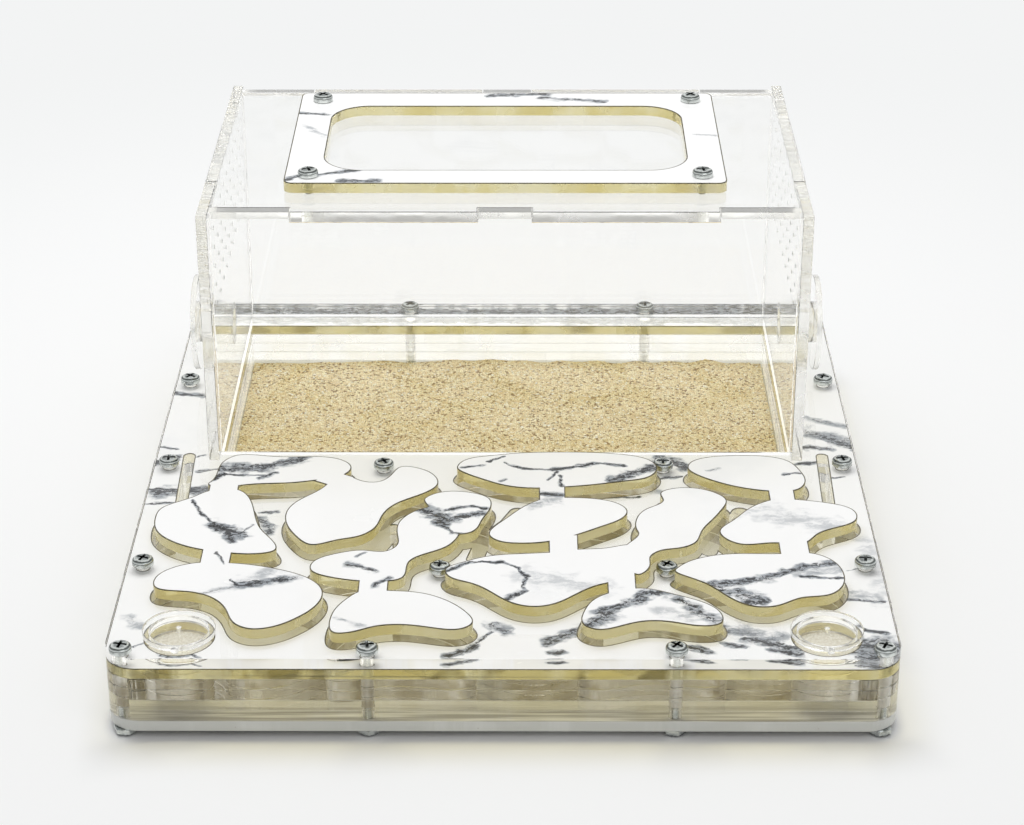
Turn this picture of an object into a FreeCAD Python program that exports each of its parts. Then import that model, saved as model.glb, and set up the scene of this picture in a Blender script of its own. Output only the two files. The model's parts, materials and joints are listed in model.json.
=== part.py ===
# Ant habitat: a bolted stack of clear sheets with nest chambers at the front, and a clear
# foraging box with a framed lid at the back.
# Millimetres. +Z is up, -Y is the nest side (front), and the origin is the middle of the
# footprint on the surface that the feet stand on.
import FreeCAD, Part
import math
import os
import Sketcher
from FreeCAD import Placement, Rotation, Vector

doc = FreeCAD.newDocument("ant_habitat")

# ---------------------------------------------------------------- sizes
SIZES = [
    # stack of sheets
    ("sheet", "3"), ("film", "0.2"), ("foot_height", "2.2"), ("foot_radius", "5"),
    ("foot_base_radius", "3.5"), ("foot_shoulder", "1.32"),
    ("foot_inset_side", "18"), ("foot_inset_end", "9"), ("corner_radius", "8"),
    # footprint, front to back: nest, front wall, arena, back wall, back strip
    ("base_width", "196"), ("nest_depth", "108.3"), ("arena_depth", "92.3"), ("back_strip", "8.4"),
    ("arena_shelf", "18.3"), ("arena_width", "=base_width - 2 * arena_shelf"),
    ("pit_front", "=nest_depth + sheet"), ("pit_back", "=pit_front + arena_depth"),
    # arena box
    ("wall_height", "73.3"), ("wall_overhang", "3.3"), ("sand_height", "2.6"), ("sand_gap", "0.2"),
    # notches in the wall tops, and the lid tongues that lie in them
    ("notch_depth", "3"), ("notch_inset", "21.7"), ("notch_half", "=arena_width / 2 - notch_inset"),
    ("tab_half", "7.2"), ("side_notch_front_inset", "19.3"), ("side_notch_back_inset", "19.5"),
    ("side_notch_front", "=pit_front + side_notch_front_inset"),
    ("side_notch_back", "=pit_back - side_notch_back_inset"), ("lid_gap", "0.25"),
    # lid frame round the window
    ("frame_side_inset", "19.2"), ("frame_front_inset", "10.5"), ("frame_back_inset", "8.8"),
    ("frame_half", "=arena_width / 2 - frame_side_inset"), ("frame_corner", "2.5"),
    ("frame_front", "=pit_front + frame_front_inset"), ("frame_back", "=pit_back - frame_back_inset"),
    ("frame_side", "10"), ("frame_front_bar", "9.8"), ("frame_back_bar", "11.3"), ("window_corner", "11"),
    ("window_half", "=frame_half - frame_side"), ("window_front", "=frame_front + frame_front_bar"),
    ("window_back", "=frame_back - frame_back_bar"),
    ("lid_screw_side_inset", "6.5"), ("lid_screw_front_inset", "5.6"), ("lid_screw_back_inset", "6.6"),
    ("lid_screw_half", "=frame_half - lid_screw_side_inset"),
    ("lid_screw_front", "=frame_front + lid_screw_front_inset"),
    ("lid_screw_back", "=frame_back - lid_screw_back_inset"),
    # screws and nuts
    ("shank_radius", "1.5"), ("hole_gap", "0.12"), ("head_radius", "2.8"), ("head_height", "2.2"),
    ("head_edge", "0.9"), ("head_round", "0.315"), ("recess_long", "3.2"), ("recess_wide", "0.7"),
    ("recess_depth", "1.1"),
    ("nut_flats", "5.5"), ("nut_height", "1.8"), ("thread_gap", "0.05"), ("screw_chamfer", "0.3"),
    ("lid_screw_tip", "1.2"), ("lid_screw_point", "0.8"),
    ("screw_side_inset", "4.4"), ("screw_front_inset", "3.4"), ("screw_back_inset", "4.4"),
    ("arena_screw_setback", "44.5"),
    # chamber openings and shades
    ("opening_margin", "0.9"), ("tunnel_width", "4.2"), ("slot_width", "3"),
    ("mouth_inset", "0.5"),
    # water wells
    ("well_side_inset", "17.8"), ("well_x", "=base_width / 2 - well_side_inset"), ("well_inset", "12"),
    ("well_radius", "8.6"), ("pad_gap", "0.3"),
    ("filler_radius", "7.4"), ("cap_radius", "9.05"), ("cap_height", "1.6"), ("cap_plug", "1.4"),
    ("plug_gap", "0.1"), ("drip_radius", "0.6"), ("lug_reach", "0.85"), ("lug_width", "1.6"),
    ("lug_height", "1.28"),
    # side ports
    ("port_setback", "45.7"), ("port_rise", "19"), ("port_radius", "6"), ("port_bore", "4.3"),
    ("port_reach", "6.8"), ("port_gap", "0.1"), ("disc_radius", "13.9"), ("disc_thickness", "1.6"),
    ("disc_plug", "3"),
    # air holes in the side walls
    ("air_radius", "0.55"), ("air_pitch_along", "8.8"), ("air_pitch_up", "5.6"), ("air_setback", "9.7"),
    ("air_base", "41.5"), ("air_columns", "10"), ("air_rows", "6"),
]
sizes = doc.addObject("Spreadsheet::Sheet", "Sizes")
for row, (alias, value) in enumerate(SIZES, start=1):
    sizes.set(f"A{row}", alias)
    sizes.set(f"B{row}", value)
    sizes.setAlias(f"B{row}", alias)
doc.recompute()


def size(alias):
    return float(sizes.get(alias))


# Outlines of the nest, margins and slots included, are drawn on a chart of this width and
# depth, X from the middle and Y from the front edge, and stretched to the nest area.
CHART_WIDTH = 196.0
CHART_DEPTH = 108.3

stretch_x = size("base_width") / CHART_WIDTH
stretch_y = size("nest_depth") / CHART_DEPTH
base_depth = size("nest_depth") + size("arena_depth") + 2 * size("sheet") + size("back_strip")

# The same lengths as expressions for the bound objects. The front edge lies at -depth / 2.
DEPTH = "(Sizes.nest_depth + Sizes.arena_depth + 2 * Sizes.sheet + Sizes.back_strip)"
FRONT = f"(-{DEPTH} / 2)"
ARENA_FRONT = f"({FRONT} + Sizes.nest_depth + Sizes.sheet)"
ARENA_BACK = f"({ARENA_FRONT} + Sizes.arena_depth)"
ARENA_HALF = "(Sizes.arena_width / 2)"
DECK = "(Sizes.foot_height + 7 * Sizes.sheet)"
WALL_TOP = f"({DECK} + Sizes.wall_height)"
LEDGE = f"({WALL_TOP} - Sizes.notch_depth)"
LID_TOP = f"({LEDGE} + Sizes.sheet)"
HOLE = "(Sizes.shank_radius + Sizes.hole_gap)"


def level(number):
    """Height of the underside of a sheet, counted from the bottom plate."""
    return f"(Sizes.foot_height + {number} * Sizes.sheet)"


gauge = doc.addObject("Part::Box", "gauge")


def value_of(expression):
    """The number that an expression gives with the present sizes."""
    gauge.setExpression("Placement.Base.x", expression)
    gauge.recompute()
    return gauge.Placement.Base.x


# ---------------------------------------------------------------- small builders
def bind(target, **expressions):
    for name, expression in expressions.items():
        target.setExpression(name, expression)
    return target


def put(target, x="0", y="0", z="0"):
    for axis, expression in (("x", x), ("y", y), ("z", z)):
        target.setExpression(f"Placement.Base.{axis}", expression)
    return target


def box(name, x0, x1, y0, y1, z0, z1):
    """A box between two corners, each given as an expression."""
    block = doc.addObject("Part::Box", name)
    bind(block, Length=f"{x1} - {x0}", Width=f"{y1} - {y0}", Height=f"{z1} - {z0}")
    return put(block, x0, y0, z0)


def cylinder(name, radius, x, y, z0, z1):
    rod = doc.addObject("Part::Cylinder", name)
    bind(rod, Radius=radius, Height=f"{z1} - {z0}")
    return put(rod, x, y, z0)


def side_cylinder(name, radius, x0, x1, y, z):
    """A cylinder that lies along X."""
    rod = doc.addObject("Part::Cylinder", name)
    rod.Placement = Placement(Vector(), Rotation(Vector(0, 1, 0), 90))
    bind(rod, Radius=radius, Height=f"{x1} - {x0}")
    return put(rod, x0, y, z)


def together(name, members):
    group = doc.addObject("Part::MultiFuse", name)
    group.Shapes = members
    return group


def bundle(name, members):
    """Solids that stay separate, kept as one object."""
    group = doc.addObject("Part::Compound", name)
    group.Links = members
    return group


def cut(name, base, tool):
    result = doc.addObject("Part::Cut", name)
    result.Base = base
    result.Tool = tool
    return result


def label(target, name):
    target.Label = name
    nodes.append(target)
    return target


def origin_plane(body, role):
    return next(f for f in body.Origin.OriginFeatures if f.Role == role)


def sketch_on(body, name, role):
    sketch = body.newObject("Sketcher::SketchObject", name)
    sketch.AttachmentSupport = (origin_plane(body, role), [""])
    sketch.MapMode = "FlatFace"
    return sketch


def profile_sketch(body, name, role, corners):
    """A closed outline of straight edges, each corner given as a pair of expressions."""
    sketch = sketch_on(body, name, role)
    points = [Vector(value_of(x), value_of(y), 0) for x, y in corners]
    count = len(points)
    for i in range(count):
        sketch.addGeometry(Part.LineSegment(points[i], points[(i + 1) % count]), False)
    for i in range(count):
        sketch.addConstraint(Sketcher.Constraint("Coincident", i, 2, (i + 1) % count, 1))
    for i, (x, y) in enumerate(corners):
        for kind, expression, number in (("DistanceX", x, points[i].x), ("DistanceY", y, points[i].y)):
            if abs(number) < 1e-9:
                on_axis = -2 if kind == "DistanceX" else -1
                sketch.addConstraint(Sketcher.Constraint("PointOnObject", i, 1, on_axis))
                continue
            index = sketch.addConstraint(Sketcher.Constraint(kind, -1, 1, i, 1, number))
            sketch.setExpression(f"Constraints[{index}]", expression)
    return sketch


def turned_body(name, corners):
    """A solid of revolution about Z, from a half profile of (radius, height) expressions."""
    body = doc.addObject("PartDesign::Body", name)
    profile = profile_sketch(body, f"{name}_profile", "XZ_Plane", corners)
    turn = body.newObject("PartDesign::Revolution", f"{name}_turn")
    turn.Profile = profile
    turn.ReferenceAxis = (profile, ["V_Axis"])
    turn.Angle = 360
    profile.Visibility = False
    return body


def upright_edges(shape):
    names = []
    for i, edge in enumerate(shape.Edges, start=1):
        if len(edge.Vertexes) == 2:
            low, high = sorted(edge.Vertexes, key=lambda v: v.Z)
            if math.hypot(low.X - high.X, low.Y - high.Y) < 1e-6:
                names.append(f"Edge{i}")
    return names


def plate_body(name, x_half, y0, y1, z0, thickness, radius):
    """A flat plate with rounded upright corners."""
    body = doc.addObject("PartDesign::Body", name)
    slab = body.newObject("PartDesign::AdditiveBox", f"{name}_slab")
    bind(slab, Length=f"2 * {x_half}", Width=f"{y1} - {y0}", Height=thickness)
    put(body, f"-{x_half}", y0, z0)
    doc.recompute()
    corners = body.newObject("PartDesign::Fillet", f"{name}_corners")
    corners.Base = (slab, upright_edges(slab.Shape))
    bind(corners, Radius=radius)
    return body


nodes = []

# ---------------------------------------------------------------- nest outlines on the chart
LEFT_LOBES = [
    [(-80.6, 86), (-79, 92), (-78.2, 98), (-74.5, 102.5), (-67, 102.3), (-59, 101.6), (-51, 101.7),
     (-45, 99.6), (-42.3, 95.3), (-44.5, 90.5), (-51, 87.8), (-58, 86.2), (-65, 85.7), (-72, 84.5),
     (-77, 83.5)],
    [(-83, 79), (-87.5, 75.4), (-91.8, 71.5), (-92.8, 66), (-91.5, 59), (-87, 53.5), (-79, 49.1),
     (-70, 47), (-64, 46.8), (-59.4, 48.8), (-60.8, 54.5), (-64, 60), (-66.3, 68), (-68.5, 77),
     (-72, 82), (-78, 82.5)],
    [(-78, 42.2), (-84.5, 39.8), (-88.8, 34), (-88.4, 29.8), (-80, 27.3), (-73, 24), (-69.3, 18.5),
     (-66.5, 11.8), (-62.5, 9.2), (-57, 10), (-51, 14.5), (-46.5, 21), (-45.7, 28), (-50, 34.5),
     (-58, 38.9), (-68, 41.7)],
    [(-48.8, 84.6), (-52, 80), (-55.5, 76), (-58, 70.5), (-57.8, 63.5), (-54.5, 56), (-50.3, 51.7),
     (-44, 54), (-38, 56.3), (-34, 61), (-32.3, 68), (-29, 74.2), (-22, 80), (-18.2, 85.5),
     (-19.5, 91), (-24, 95), (-28.5, 95.8), (-31.2, 91), (-34.5, 86.9), (-39, 87.4), (-44.2, 91)],
]
LEFT_NECKS = [((-76.2, 80), (-76.2, 87), 8), ((-74.4, 41), (-74.4, 49), 7.8), ((-50, 90.5), (-43, 86.2), 7.5)]
MID_LEFT_LOBES = [
    [(-21.3, 77.6), (-17, 80.9), (-9, 80.6), (-4.2, 77.3), (-3.9, 71), (-5.9, 65), (-8.3, 58.8),
     (-11.5, 57.4), (-16, 60), (-20, 66), (-20.6, 73)],
    [(-20, 72.6), (-25, 69), (-28, 63.5), (-28, 56), (-28, 51.5), (-31, 48.2), (-36, 48.7),
     (-43, 47.2), (-49.3, 42.3), (-49.6, 38.7), (-45, 35), (-38, 33), (-29, 32.8), (-26, 34.2),
     (-24.9, 38), (-24.2, 43), (-20, 47), (-15, 50.6), (-12.6, 54.5), (-11.5, 59), (-13, 66)],
    [(-37.5, 26.5), (-41.3, 20.5), (-43, 13), (-41.5, 7.4), (-38, 7.4), (-32, 10.2), (-25, 11.2),
     (-17, 9.6), (-10, 9.4), (-7.6, 11.8), (-9.2, 17.5), (-14, 23), (-20, 26.6), (-29, 28)],
]
MID_LEFT_NECKS = [((-33, 26), (-33, 35), 7.6)]
MIDDLE_LOBES = [
    [(-13.2, 96), (-10.5, 100.3), (-4, 102.5), (4, 104), (14, 104.6), (24, 104.4), (33, 103.1),
     (39.5, 100.2), (41.8, 95.5), (39.5, 90), (33, 87.4), (25, 85.4), (16, 83.8), (7, 83.2),
     (0, 84.8), (-7, 89), (-12, 93)],
    [(9, 76.3), (4.5, 72), (0, 65.5), (-3, 61), (-4, 57.2), (-1.5, 53.8), (4, 52.5), (11.5, 53.4),
     (19, 57), (26, 61.8), (31, 65.8), (32.8, 70), (30.5, 74.4), (25, 77), (17, 77.8)],
    [(11, 47.6), (3, 46.9), (-5, 45.4), (-11, 42.3), (-15, 38.6), (-14.3, 35.6), (-8, 31.5),
     (-3, 27), (2, 22), (7, 20.1), (12, 21), (18, 25.8), (24.5, 31), (31, 34), (36, 42),
     (36.5, 50), (33, 51.8), (27, 50.2), (20, 49.4)],
    [(35, 59), (34.8, 65), (38, 71.5), (42.5, 76.3), (42, 80.2), (46, 83.2), (52, 83.2),
     (57, 80.5), (59.6, 76.5), (58.5, 72), (55, 65), (52, 59), (50, 53), (45.5, 50), (41, 48.8),
     (38, 45.5), (37.6, 40.5), (34.5, 36.2), (31, 42), (32, 52)],
    [(26, 26.5), (22.5, 23.3), (19.9, 17), (19.9, 11.5), (23, 9.1), (29, 10.6), (35, 13),
     (42, 12.6), (49, 10.8), (54, 12.2), (54.3, 17), (50, 22.5), (43, 26.4), (35, 29.3)],
]
MIDDLE_NECKS = [((12.8, 76), (12.8, 86), 7.1), ((15.5, 46), (15.5, 57), 7.7), ((30, 26), (30, 37), 7.3)]
RIGHT_LOBES = [
    [(50.2, 95.8), (51.8, 99.2), (57, 101.8), (64, 102.6), (72, 102.2), (78, 99.5), (81, 93.5),
     (81.9, 87.5), (79.5, 82.7), (74, 81.4), (68.5, 82.2), (62, 84.5), (55.5, 88.5), (51.3, 92.5)],
    [(70.5, 76), (65.5, 72), (60, 64.5), (56.6, 59), (58, 55), (62, 52.1), (70, 52.8),
     (79, 53.3), (82, 57.3), (88.5, 61.6), (93.3, 65.6), (93, 71), (87, 74.8), (79, 76.7)],
    [(44, 38.9), (48, 43.3), (55, 46.4), (64, 47.2), (72, 47.2), (79.5, 47.5), (85, 43.2),
     (86.9, 37), (86, 30.5), (82, 26), (75, 24.5), (69, 20.8), (63, 20.2), (57, 24.5), (52, 31),
     (46.5, 35.3)],
]
RIGHT_NECKS = [((74.7, 74), (74.7, 84), 7), ((75.4, 45), (75.4, 55), 7.8)]

# Tunnels join neighbouring groups, and stop short of a second link, so no web comes loose.
TUNNELS = [
    [(-46.5, 49.6), (-38.5, 53.2), (-32.8, 57), (-30.8, 62), (-29.6, 68)],
    [(-7.6, 51.5), (-6.2, 58), (-3.1, 65), (0.9, 71), (3.5, 77.3)],
    [(53.8, 55.5), (54.6, 59.5), (58.1, 66), (61.3, 72.5), (63.5, 77.5)],
]
# Each side passage runs from a chamber to beside the arena, then turns in to the pit.
PASSAGES = [((-87.6, 75), (-88.8, 110)), ((87.6, 74), (88.8, 110))]
INNER_SCREWS = [(-16.5, 43.4), (42.1, 43.5), (-33.7, 101.1), (43.7, 101.2)]


def on_base(point):
    """A chart point in the model's own frame."""
    return Vector(point[0] * stretch_x, point[1] * stretch_y - base_depth / 2, 0)


def lobe_face(outline, margin):
    """A smooth closed outline, moved outwards by a margin."""
    points = [Vector(*p, 0) for p in outline]
    count = len(points)
    area = sum(points[i - 1].x * points[i].y - points[i].x * points[i - 1].y for i in range(count))
    turn = 1 if area > 0 else -1
    moved = []
    for i in range(count):
        along = points[(i + 1) % count] - points[i - 1]
        outward = Vector(along.y, -along.x, 0).normalize() * turn
        moved.append(points[i] + outward * margin)
    curve = Part.BSplineCurve()
    curve.interpolate([on_base(p) for p in moved], PeriodicFlag=True)
    return Part.Face(Part.Wire([curve.toShape()]))


def bar_face(start, end, width):
    """A straight bar between two chart points."""
    first = Vector(*start, 0)
    last = Vector(*end, 0)
    along = (last - first).normalize()
    side = Vector(-along.y, along.x, 0) * (width / 2)
    corners = [on_base(p) for p in (first + side, last + side, last - side, first - side)]
    return Part.Face(Part.makePolygon(corners + corners[:1]))


def path_faces(points, width):
    """A round-ended slot along a row of chart points."""
    bars = [bar_face(start, end, width) for start, end in zip(points, points[1:])]
    radius = width / 2 * min(stretch_x, stretch_y)
    rounds = [Part.Face(Part.Wire([Part.makeCircle(radius, on_base(point))])) for point in points]
    return bars + rounds


def joined(faces):
    """Overlapping flat faces as one outline."""
    slabs = [face.extrude(Vector(0, 0, 1)) for face in faces]
    solid = slabs[0].fuse(slabs[1:]).removeSplitter()
    return Part.makeCompound([face for face in solid.Faces if face.CenterOfMass.z < 1e-6])


def group_faces(lobes, necks, margin):
    faces = [lobe_face(lobe, margin) for lobe in lobes]
    return faces + [bar_face(start, end, width + 2 * margin) for start, end, width in necks]


GROUPS = {
    "left": (LEFT_LOBES, LEFT_NECKS),
    "mid_left": (MID_LEFT_LOBES, MID_LEFT_NECKS),
    "middle": (MIDDLE_LOBES, MIDDLE_NECKS),
    "right": (RIGHT_LOBES, RIGHT_NECKS),
}


def outline_object(name, face):
    """A flat outline as an object of the document, at height 0."""
    sheet = doc.addObject("Part::Feature", name)
    sheet.Shape = face
    return sheet


def risen(name, flat, z0, height):
    """A flat outline raised to a solid between two heights."""
    solid = doc.addObject("Part::Extrusion", name)
    solid.Base = flat
    solid.DirMode = "Custom"
    solid.Dir = Vector(0, 0, 1)
    solid.Solid = True
    bind(solid, LengthFwd=height)
    return put(solid, z=z0)


# ---------------------------------------------------------------- cutting tools
openings = []
for lobes, necks in GROUPS.values():
    openings += group_faces(lobes, necks, size("opening_margin"))
for path in TUNNELS:
    openings += path_faces(path, size("tunnel_width"))
for path in PASSAGES:
    openings += path_faces(path, size("slot_width"))
nest_outline = outline_object("nest_outline", joined(openings))
nest_tool = risen("nest_tool", nest_outline, level(2), "5 * Sizes.sheet")

pit_tool = box("pit_tool", f"-{ARENA_HALF}", ARENA_HALF, ARENA_FRONT, ARENA_BACK, "0", WALL_TOP)

# The mouth of each side passage turns in to the pit, on the left in one sheet and on the
# right in the next, so the web in front of the pit stays whole in both.
MOUTH_FRONT = f"({ARENA_FRONT} + Sizes.mouth_inset)"
MOUTH_BACK = f"({MOUTH_FRONT} + Sizes.slot_width)"
PIT_EDGE = f"({ARENA_HALF} - Sizes.mouth_inset)"
mouth_tools = {}
for tag, side, floor in (("left", -1, 3), ("right", 1, 4)):
    end = on_base(PASSAGES[0 if side < 0 else 1][1])
    slot_half = f"(Sizes.slot_width * {stretch_x} / 2)"
    slot_in = f"({end.x} - {slot_half})"
    slot_out = f"({end.x} + {slot_half})"
    bend = box(f"passage_bend_{tag}", slot_in, slot_out, str(end.y), MOUTH_BACK,
               level(floor), level(floor + 1))
    across = (slot_in, f"-{PIT_EDGE}") if side < 0 else (PIT_EDGE, slot_out)
    reach = box(f"passage_reach_{tag}", *across, MOUTH_FRONT, MOUTH_BACK, level(floor), level(floor + 1))
    mouth_tools[tag] = together(f"passage_mouth_{tag}", [bend, reach])

SCREW_X = "(Sizes.base_width / 2 - Sizes.screw_side_inset)"
SCREW_FRONT = f"({FRONT} + Sizes.screw_front_inset)"
SCREW_BACK = f"(-{FRONT} - Sizes.screw_back_inset)"
FRONT_SCREWS = (-33.2, 42.6)
BACK_SCREWS = (-30.6, 43.0)
SIDE_SCREWS = (46.5, 103.0)

screw_places = []
for side in ("-", "+"):
    screw_places.append((f"{side}{SCREW_X}", SCREW_FRONT))
    screw_places.append((f"{side}{SCREW_X}", SCREW_BACK))
    for setback in SIDE_SCREWS:
        screw_places.append((f"{side}{SCREW_X}", str(on_base((0, setback)).y)))
    screw_places.append((f"{side}{SCREW_X}", f"({ARENA_FRONT} + Sizes.arena_screw_setback)"))
for x in FRONT_SCREWS:
    screw_places.append((f"{x} * Sizes.base_width / {CHART_WIDTH}", SCREW_FRONT))
for x in BACK_SCREWS:
    screw_places.append((f"{x} * Sizes.base_width / {CHART_WIDTH}", SCREW_BACK))
for point in INNER_SCREWS:
    spot = on_base(point)
    screw_places.append((str(spot.x), str(spot.y)))
hole_tool = bundle("hole_tool", [
    cylinder(f"hole_{i}", HOLE, x, y, "0", WALL_TOP) for i, (x, y) in enumerate(screw_places)])

WELL_Y = f"({FRONT} + Sizes.well_inset)"
wells = []
for side in ("-", "+"):
    wells.append(cylinder("well", "Sizes.well_radius", f"{side}Sizes.well_x", WELL_Y, level(3), level(6)))
well_tool = bundle("well_tool", wells)
fillers = []
for side in ("-", "+"):
    fillers.append(cylinder("filler", "Sizes.filler_radius", f"{side}Sizes.well_x", WELL_Y, level(5), DECK))
filler_tool = bundle("filler_tool", fillers)

# ---------------------------------------------------------------- base stack
BASE_HALF = "(Sizes.base_width / 2)"


def base_plate(name, number, thickness, tools, lift="0 * Sizes.sheet"):
    """One full-size sheet of the stack, cut by the tools that pass through it."""
    slab = plate_body(f"{name}_blank", BASE_HALF, FRONT, f"-{FRONT}", f"{level(number)} + {lift}",
                      thickness, "Sizes.corner_radius")
    for i, tool in enumerate(tools):
        slab = cut(f"{name}_cut_{i}", slab, tool)
    return label(slab, name)


base_plate("bottom_plate", 0, "Sizes.sheet", [hole_tool])
base_plate("chamber_sheet_1", 1, "Sizes.sheet", [hole_tool, pit_tool])
base_plate("chamber_sheet_2", 2, "Sizes.sheet", [hole_tool, pit_tool, nest_tool])
base_plate("chamber_sheet_3", 3, "Sizes.sheet",
           [hole_tool, pit_tool, nest_tool, well_tool, mouth_tools["left"]])
base_plate("chamber_sheet_4", 4, "Sizes.sheet",
           [hole_tool, pit_tool, nest_tool, well_tool, mouth_tools["right"]])
base_plate("marble_plate", 5, "Sizes.sheet - Sizes.film", [hole_tool, pit_tool, nest_tool, well_tool])
base_plate("marble_film", 5, "Sizes.film", [hole_tool, pit_tool, nest_tool, well_tool],
           "Sizes.sheet - Sizes.film")
base_plate("cover_plate", 6, "Sizes.sheet", [hole_tool, pit_tool, filler_tool])


def copies(name, master, places, z):
    """Separate copies of one solid, kept as one node."""
    group = doc.addObject("Part::Feature", name)
    height = value_of(z)
    solids = []
    for x, y in places:
        solids.append(master.Shape.translated(Vector(value_of(x), value_of(y), height)))
    group.Shape = Part.makeCompound(solids)
    return label(group, name)


# Feet: low bumpers, wider where they stick to the plate.
foot = turned_body("foot_master", [
    ("0", "0"), ("Sizes.foot_base_radius", "0"), ("Sizes.foot_radius", "Sizes.foot_shoulder"),
    ("Sizes.foot_radius", "Sizes.foot_height"), ("0", "Sizes.foot_height")])
doc.recompute()
FOOT_X = f"({BASE_HALF} - Sizes.foot_inset_side)"
FOOT_Y = f"({FRONT} + Sizes.foot_inset_end)"
copies("feet", foot, [(sx + FOOT_X, sy + FOOT_Y) for sx in "-+" for sy in "-+"], "0 * Sizes.sheet")


def pan_screw(name, length, tip):
    """A pan-head screw that stands with its head's underside at height 0."""
    body = turned_body(name, [
        ("0", f"-{length}"), (f"Sizes.shank_radius - {tip}", f"-{length}"),
        ("Sizes.shank_radius", f"-{length} + {tip}"), ("Sizes.shank_radius", "0"),
        ("Sizes.head_radius", "0"), ("Sizes.head_radius", "Sizes.head_height - Sizes.head_edge"),
        ("Sizes.head_radius - Sizes.head_round", "Sizes.head_height - Sizes.head_round"),
        ("Sizes.head_radius - Sizes.head_edge", "Sizes.head_height"), ("0", "Sizes.head_height")])
    doc.recompute()
    for turned in (0, 1):
        arm = ("Sizes.recess_long / 2", "Sizes.recess_wide / 2")
        reach, half = arm[turned], arm[1 - turned]
        slot = body.newObject("PartDesign::SubtractiveBox", f"{name}_recess_{turned}")
        bind(slot, Length=f"2 * {reach}", Width=f"2 * {half}", Height="2 * Sizes.recess_depth")
        for axis, expression in (("x", f"-{reach}"), ("y", f"-{half}"),
                                 ("z", "Sizes.head_height - Sizes.recess_depth")):
            slot.setExpression(f"AttachmentOffset.Base.{axis}", expression)
        slot.AttachmentSupport = (origin_plane(body, "XY_Plane"), [""])
        slot.MapMode = "FlatFace"
    doc.recompute()
    return body


base_screw = pan_screw("base_screw_master", "(7 * Sizes.sheet + Sizes.nut_height)", "Sizes.screw_chamfer")
copies("base_screws", base_screw, screw_places, DECK)

nut = doc.addObject("PartDesign::Body", "nut_master")
hexagon = nut.newObject("PartDesign::AdditivePrism", "nut_hexagon")
hexagon.Polygon = 6
bind(hexagon, Circumradius="Sizes.nut_flats / sqrt(3)", Height="Sizes.nut_height")
nut_bore = nut.newObject("PartDesign::SubtractiveCylinder", "nut_bore")
bind(nut_bore, Radius="Sizes.shank_radius + Sizes.thread_gap", Height="Sizes.nut_height")
doc.recompute()
copies("base_nuts", nut, screw_places, "Sizes.foot_height - Sizes.nut_height")

# ---------------------------------------------------------------- chamber shades
for tag, (lobes, necks) in GROUPS.items():
    flat = outline_object(f"shade_{tag}_outline", joined(group_faces(lobes, necks, 0)))
    shade = risen(f"shade_{tag}", flat, DECK, "Sizes.sheet - Sizes.film")
    label(shade, f"shade_{tag}")
    skin = risen(f"shade_{tag}_skin", flat, f"{DECK} + Sizes.sheet - Sizes.film", "Sizes.film")
    label(skin, f"shade_{tag}_film")

# ---------------------------------------------------------------- water ports
water_cap = turned_body("water_cap_master", [
    ("Sizes.drip_radius", "-Sizes.cap_plug"), ("Sizes.filler_radius - Sizes.plug_gap", "-Sizes.cap_plug"),
    ("Sizes.filler_radius - Sizes.plug_gap", "0"), ("Sizes.cap_radius", "0"),
    ("Sizes.cap_radius", "Sizes.cap_height"), ("Sizes.drip_radius", "Sizes.cap_height")])
doc.recompute()
for tag, side in (("left", "-"), ("right", "+")):
    disc = doc.addObject("Part::Feature", f"water_disc_{tag}")
    disc.Shape = water_cap.Shape
    put(disc, f"{side}Sizes.well_x", WELL_Y, DECK)
    lug = box(f"water_lug_{tag}", f"({side}Sizes.well_x - Sizes.lug_width / 2)",
              f"({side}Sizes.well_x + Sizes.lug_width / 2)",
              f"({WELL_Y} - Sizes.cap_radius - Sizes.lug_reach)",
              f"({WELL_Y} - Sizes.cap_radius + Sizes.lug_reach)", DECK,
              f"({DECK} + Sizes.lug_height)")
    label(together(f"water_cap_{tag}", [disc, lug]), f"water_cap_{tag}")
    pad = cylinder(f"moisture_pad_{tag}", "Sizes.well_radius - Sizes.pad_gap", f"{side}Sizes.well_x",
                   WELL_Y, level(3), level(5))
    label(pad, f"moisture_pad_{tag}")

# ---------------------------------------------------------------- arena box
SIDE_FRONT = f"({ARENA_FRONT} - Sizes.sheet - Sizes.wall_overhang)"
SIDE_BACK = f"({ARENA_BACK} + Sizes.sheet + Sizes.wall_overhang)"
sand = box("sand_bed", f"(-{ARENA_HALF} + Sizes.sand_gap)", f"({ARENA_HALF} - Sizes.sand_gap)",
           f"({ARENA_FRONT} + Sizes.sand_gap)", f"({ARENA_BACK} - Sizes.sand_gap)", level(1),
           f"({level(1)} + Sizes.sand_height)")
label(sand, "sand_bed")


def wall_body(name, role, corners, depth):
    """A flat wall cut from sheet, drawn in its own plane from the outline of its face."""
    body = doc.addObject("PartDesign::Body", name)
    outline = profile_sketch(body, f"{name}_outline", role, corners)
    pad = body.newObject("PartDesign::Pad", f"{name}_pad")
    pad.Profile = outline
    bind(pad, Length=depth)
    outline.Visibility = False
    return body


# Front and back walls: a tab stands in the middle of the notched top edge.
end_corners = [
    (f"-{ARENA_HALF}", DECK), (ARENA_HALF, DECK), (ARENA_HALF, WALL_TOP), ("Sizes.notch_half", WALL_TOP),
    ("Sizes.notch_half", LEDGE), ("Sizes.tab_half", LEDGE), ("Sizes.tab_half", WALL_TOP),
    ("-Sizes.tab_half", WALL_TOP), ("-Sizes.tab_half", LEDGE), ("-Sizes.notch_half", LEDGE),
    ("-Sizes.notch_half", WALL_TOP), (f"-{ARENA_HALF}", WALL_TOP)]
for tag, back_face in (("front", ARENA_FRONT), ("back", f"({ARENA_BACK} + Sizes.sheet)")):
    wall = wall_body(f"arena_{tag}_wall", "XZ_Plane", end_corners, "Sizes.sheet")
    put(wall, y=back_face)
    label(wall, f"arena_{tag}_wall")

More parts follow.
